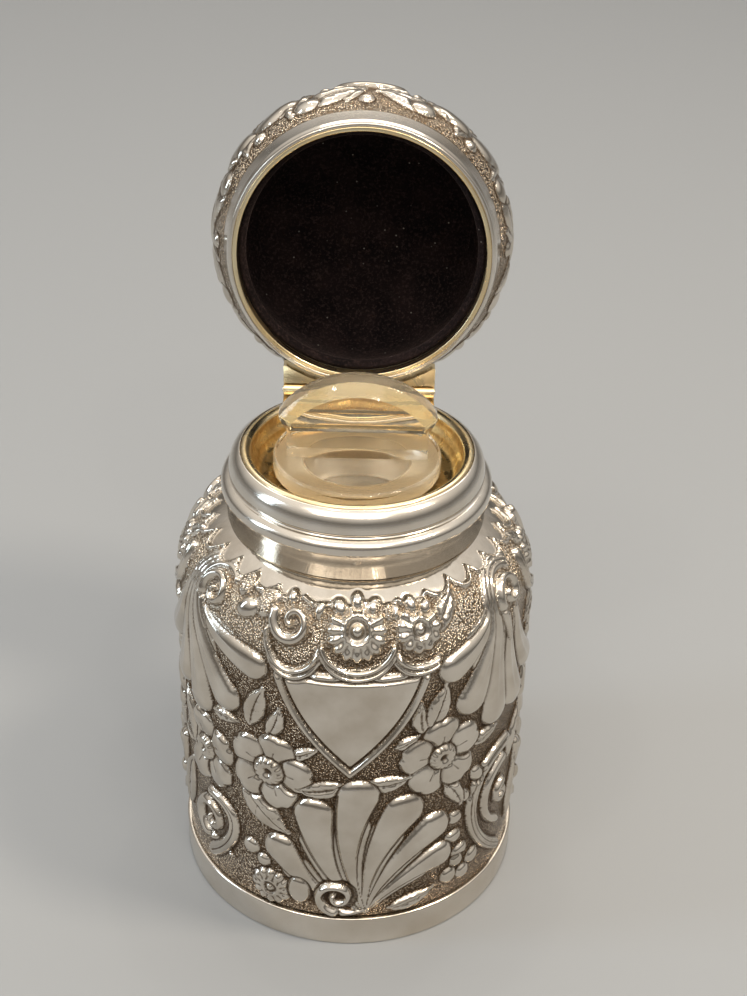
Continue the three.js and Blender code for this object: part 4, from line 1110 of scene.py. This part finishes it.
def knuckle(name, low, high):
    """A short tube about the pin, from one x to another."""
    profile = rounded(block(PIN_R + CLEARANCE, BARREL_R, low, high), [0.1] * 4, 4)
    piece = turned(name, profile, 48)
    piece.data.transform(Matrix.Rotation(pi / 2, 4, "Y"))
    piece.data.transform(Matrix.Translation((0, HINGE_Y * MM, HINGE_Z * MM)))
    return piece


def make_hinge():
    pitch = (2 * HINGE_HALF + CLEARANCE) / 5
    for place, node in enumerate((
            "body_knuckle_left", "lid_knuckle_left", "body_knuckle_middle", "lid_knuckle_right",
            "body_knuckle_right")):
        low = -HINGE_HALF + place * pitch
        piece = knuckle("knuckle_%d" % (place + 1), low, low + pitch - CLEARANCE)
        dress(piece, PALE_GILT, node.split("_")[0].replace("body", "bottle"), node)


for make in (make_case, make_foot, make_collar, make_dish, make_bottle, make_stopper, make_dome, make_rim,
             make_lining, make_hinge):
    make()

for node, material in {
        "bottle_bed": CORK, "neck_packing": PLASTER, "lid_former": CARD, "hinge_pin": SILVER,
        "body_hinge_leaf": PALE_GILT, "lid_hinge_leaf": PALE_GILT}.items():
    frame["nodes"][node].data.materials.clear()
    frame["nodes"][node].data.materials.append(material)


# Floor, light and camera

FLOOR_HALF = 4000.0
LAMP_AIM = Vector((0, 0, 0.07))


def make_floor():
    corners = [(x * FLOOR_HALF, y * FLOOR_HALF, 0) for x, y in ((-1, -1), (1, -1), (1, 1), (-1, 1))]
    floor = smooth_mesh("floor", corners, [[0, 1, 2, 3]])
    f = finish("floor", Roughness=0.55, Specular_IOR_Level=0.2, Base_Color=(0.305, 0.315, 0.326, 1))
    floor.data.materials.append(f.owner)


def area_light(name, place, size, power, color):
    """A rectangular lamp that faces the bottle."""
    data = bpy.data.lights.new(name, "AREA")
    data.shape = "RECTANGLE"
    data.size, data.size_y = size
    data.energy = power
    data.color = color
    lamp = in_scene(name, data)
    lamp.location = place
    lamp.rotation_mode = "QUATERNION"
    lamp.rotation_quaternion = (LAMP_AIM - Vector(place)).to_track_quat("-Z", "Y")


def make_light():
    area_light("softbox", (-0.05, -0.42, 0.80), (0.80, 0.50), 2.5, (1.0, 0.91, 0.79))
    area_light("key", (0.42, -0.12, 0.72), (0.14, 0.14), 2.8, (1.0, 0.88, 0.72))
    area_light("window", (-0.75, -0.10, 0.40), (0.16, 0.50), 1.8, (0.70, 0.85, 1.0))
    area_light("back", (0.05, 0.55, 0.70), (0.70, 0.20), 1.1, (1.0, 0.93, 0.82))
    for place in ((-0.30, -0.30, 0.78), (0.20, -0.50, 0.66), (-0.10, 0.18, 0.90), (0.14, 0.20, 0.88)):
        area_light("spot", place, (0.035, 0.035), 0.28, (1.0, 0.93, 0.80))


def make_world():
    """A sky that brightens with height. Its lowest part has the tone of the far floor."""
    sky = Nodes(bpy.data.worlds.new("world"), "Background", Strength=1.2)
    height = sky.node("SeparateXYZ", "Z", {0: sky.node("TexCoord", "Generated")})
    ramp = sky.node("ValToRGB", "Color", {"Fac": height})
    stops = ramp.node.color_ramp.elements
    levels = [(0.0, 0.229), (0.05, 0.229), (0.17, 0.12), (0.95, 1.0)]
    while len(stops) < len(levels):
        stops.new(0.5)
    for stop, (position, level) in zip(stops, levels):
        stop.position = position
        stop.color = (level, 0.95 * level, 0.885 * level, 1)
    sky.set(Color=ramp)
    bpy.context.scene.world = sky.owner


# The camera fitted to the photograph: focal length in pixels of its 747 by 996 frame
FOCAL_PX = 1600.0
LONG_SIDE_PX = 996.0
SENSOR_MM = 36.0
CAMERA_AT = (0.0004, -0.2450, 0.2342)
CAMERA_TILT = 0.5630
CAMERA_PAN = 0.0111
CAMERA_ROLL = 0.0293


def make_camera():
    data = bpy.data.cameras.new("camera")
    data.sensor_fit = "AUTO"
    data.sensor_width = SENSOR_MM
    data.lens = FOCAL_PX / LONG_SIDE_PX * SENSOR_MM
    data.clip_start = 0.01
    camera = in_scene("camera", data)
    level = cos(CAMERA_TILT)
    forward = Vector((sin(CAMERA_PAN) * level, cos(CAMERA_PAN) * level, -sin(CAMERA_TILT)))
    right = forward.cross(Vector((0, 0, 1))).normalized()
    up = right.cross(forward)
    c, s = cos(CAMERA_ROLL), sin(CAMERA_ROLL)
    turn = Matrix((c * right + s * up, c * up - s * right, -forward)).transposed().to_4x4()
    camera.matrix_world = Matrix.Translation(CAMERA_AT) @ turn
    bpy.context.scene.camera = camera


make_floor()
make_light()
make_world()
make_camera()
bpy.context.scene.view_settings.view_transform = "Standard"
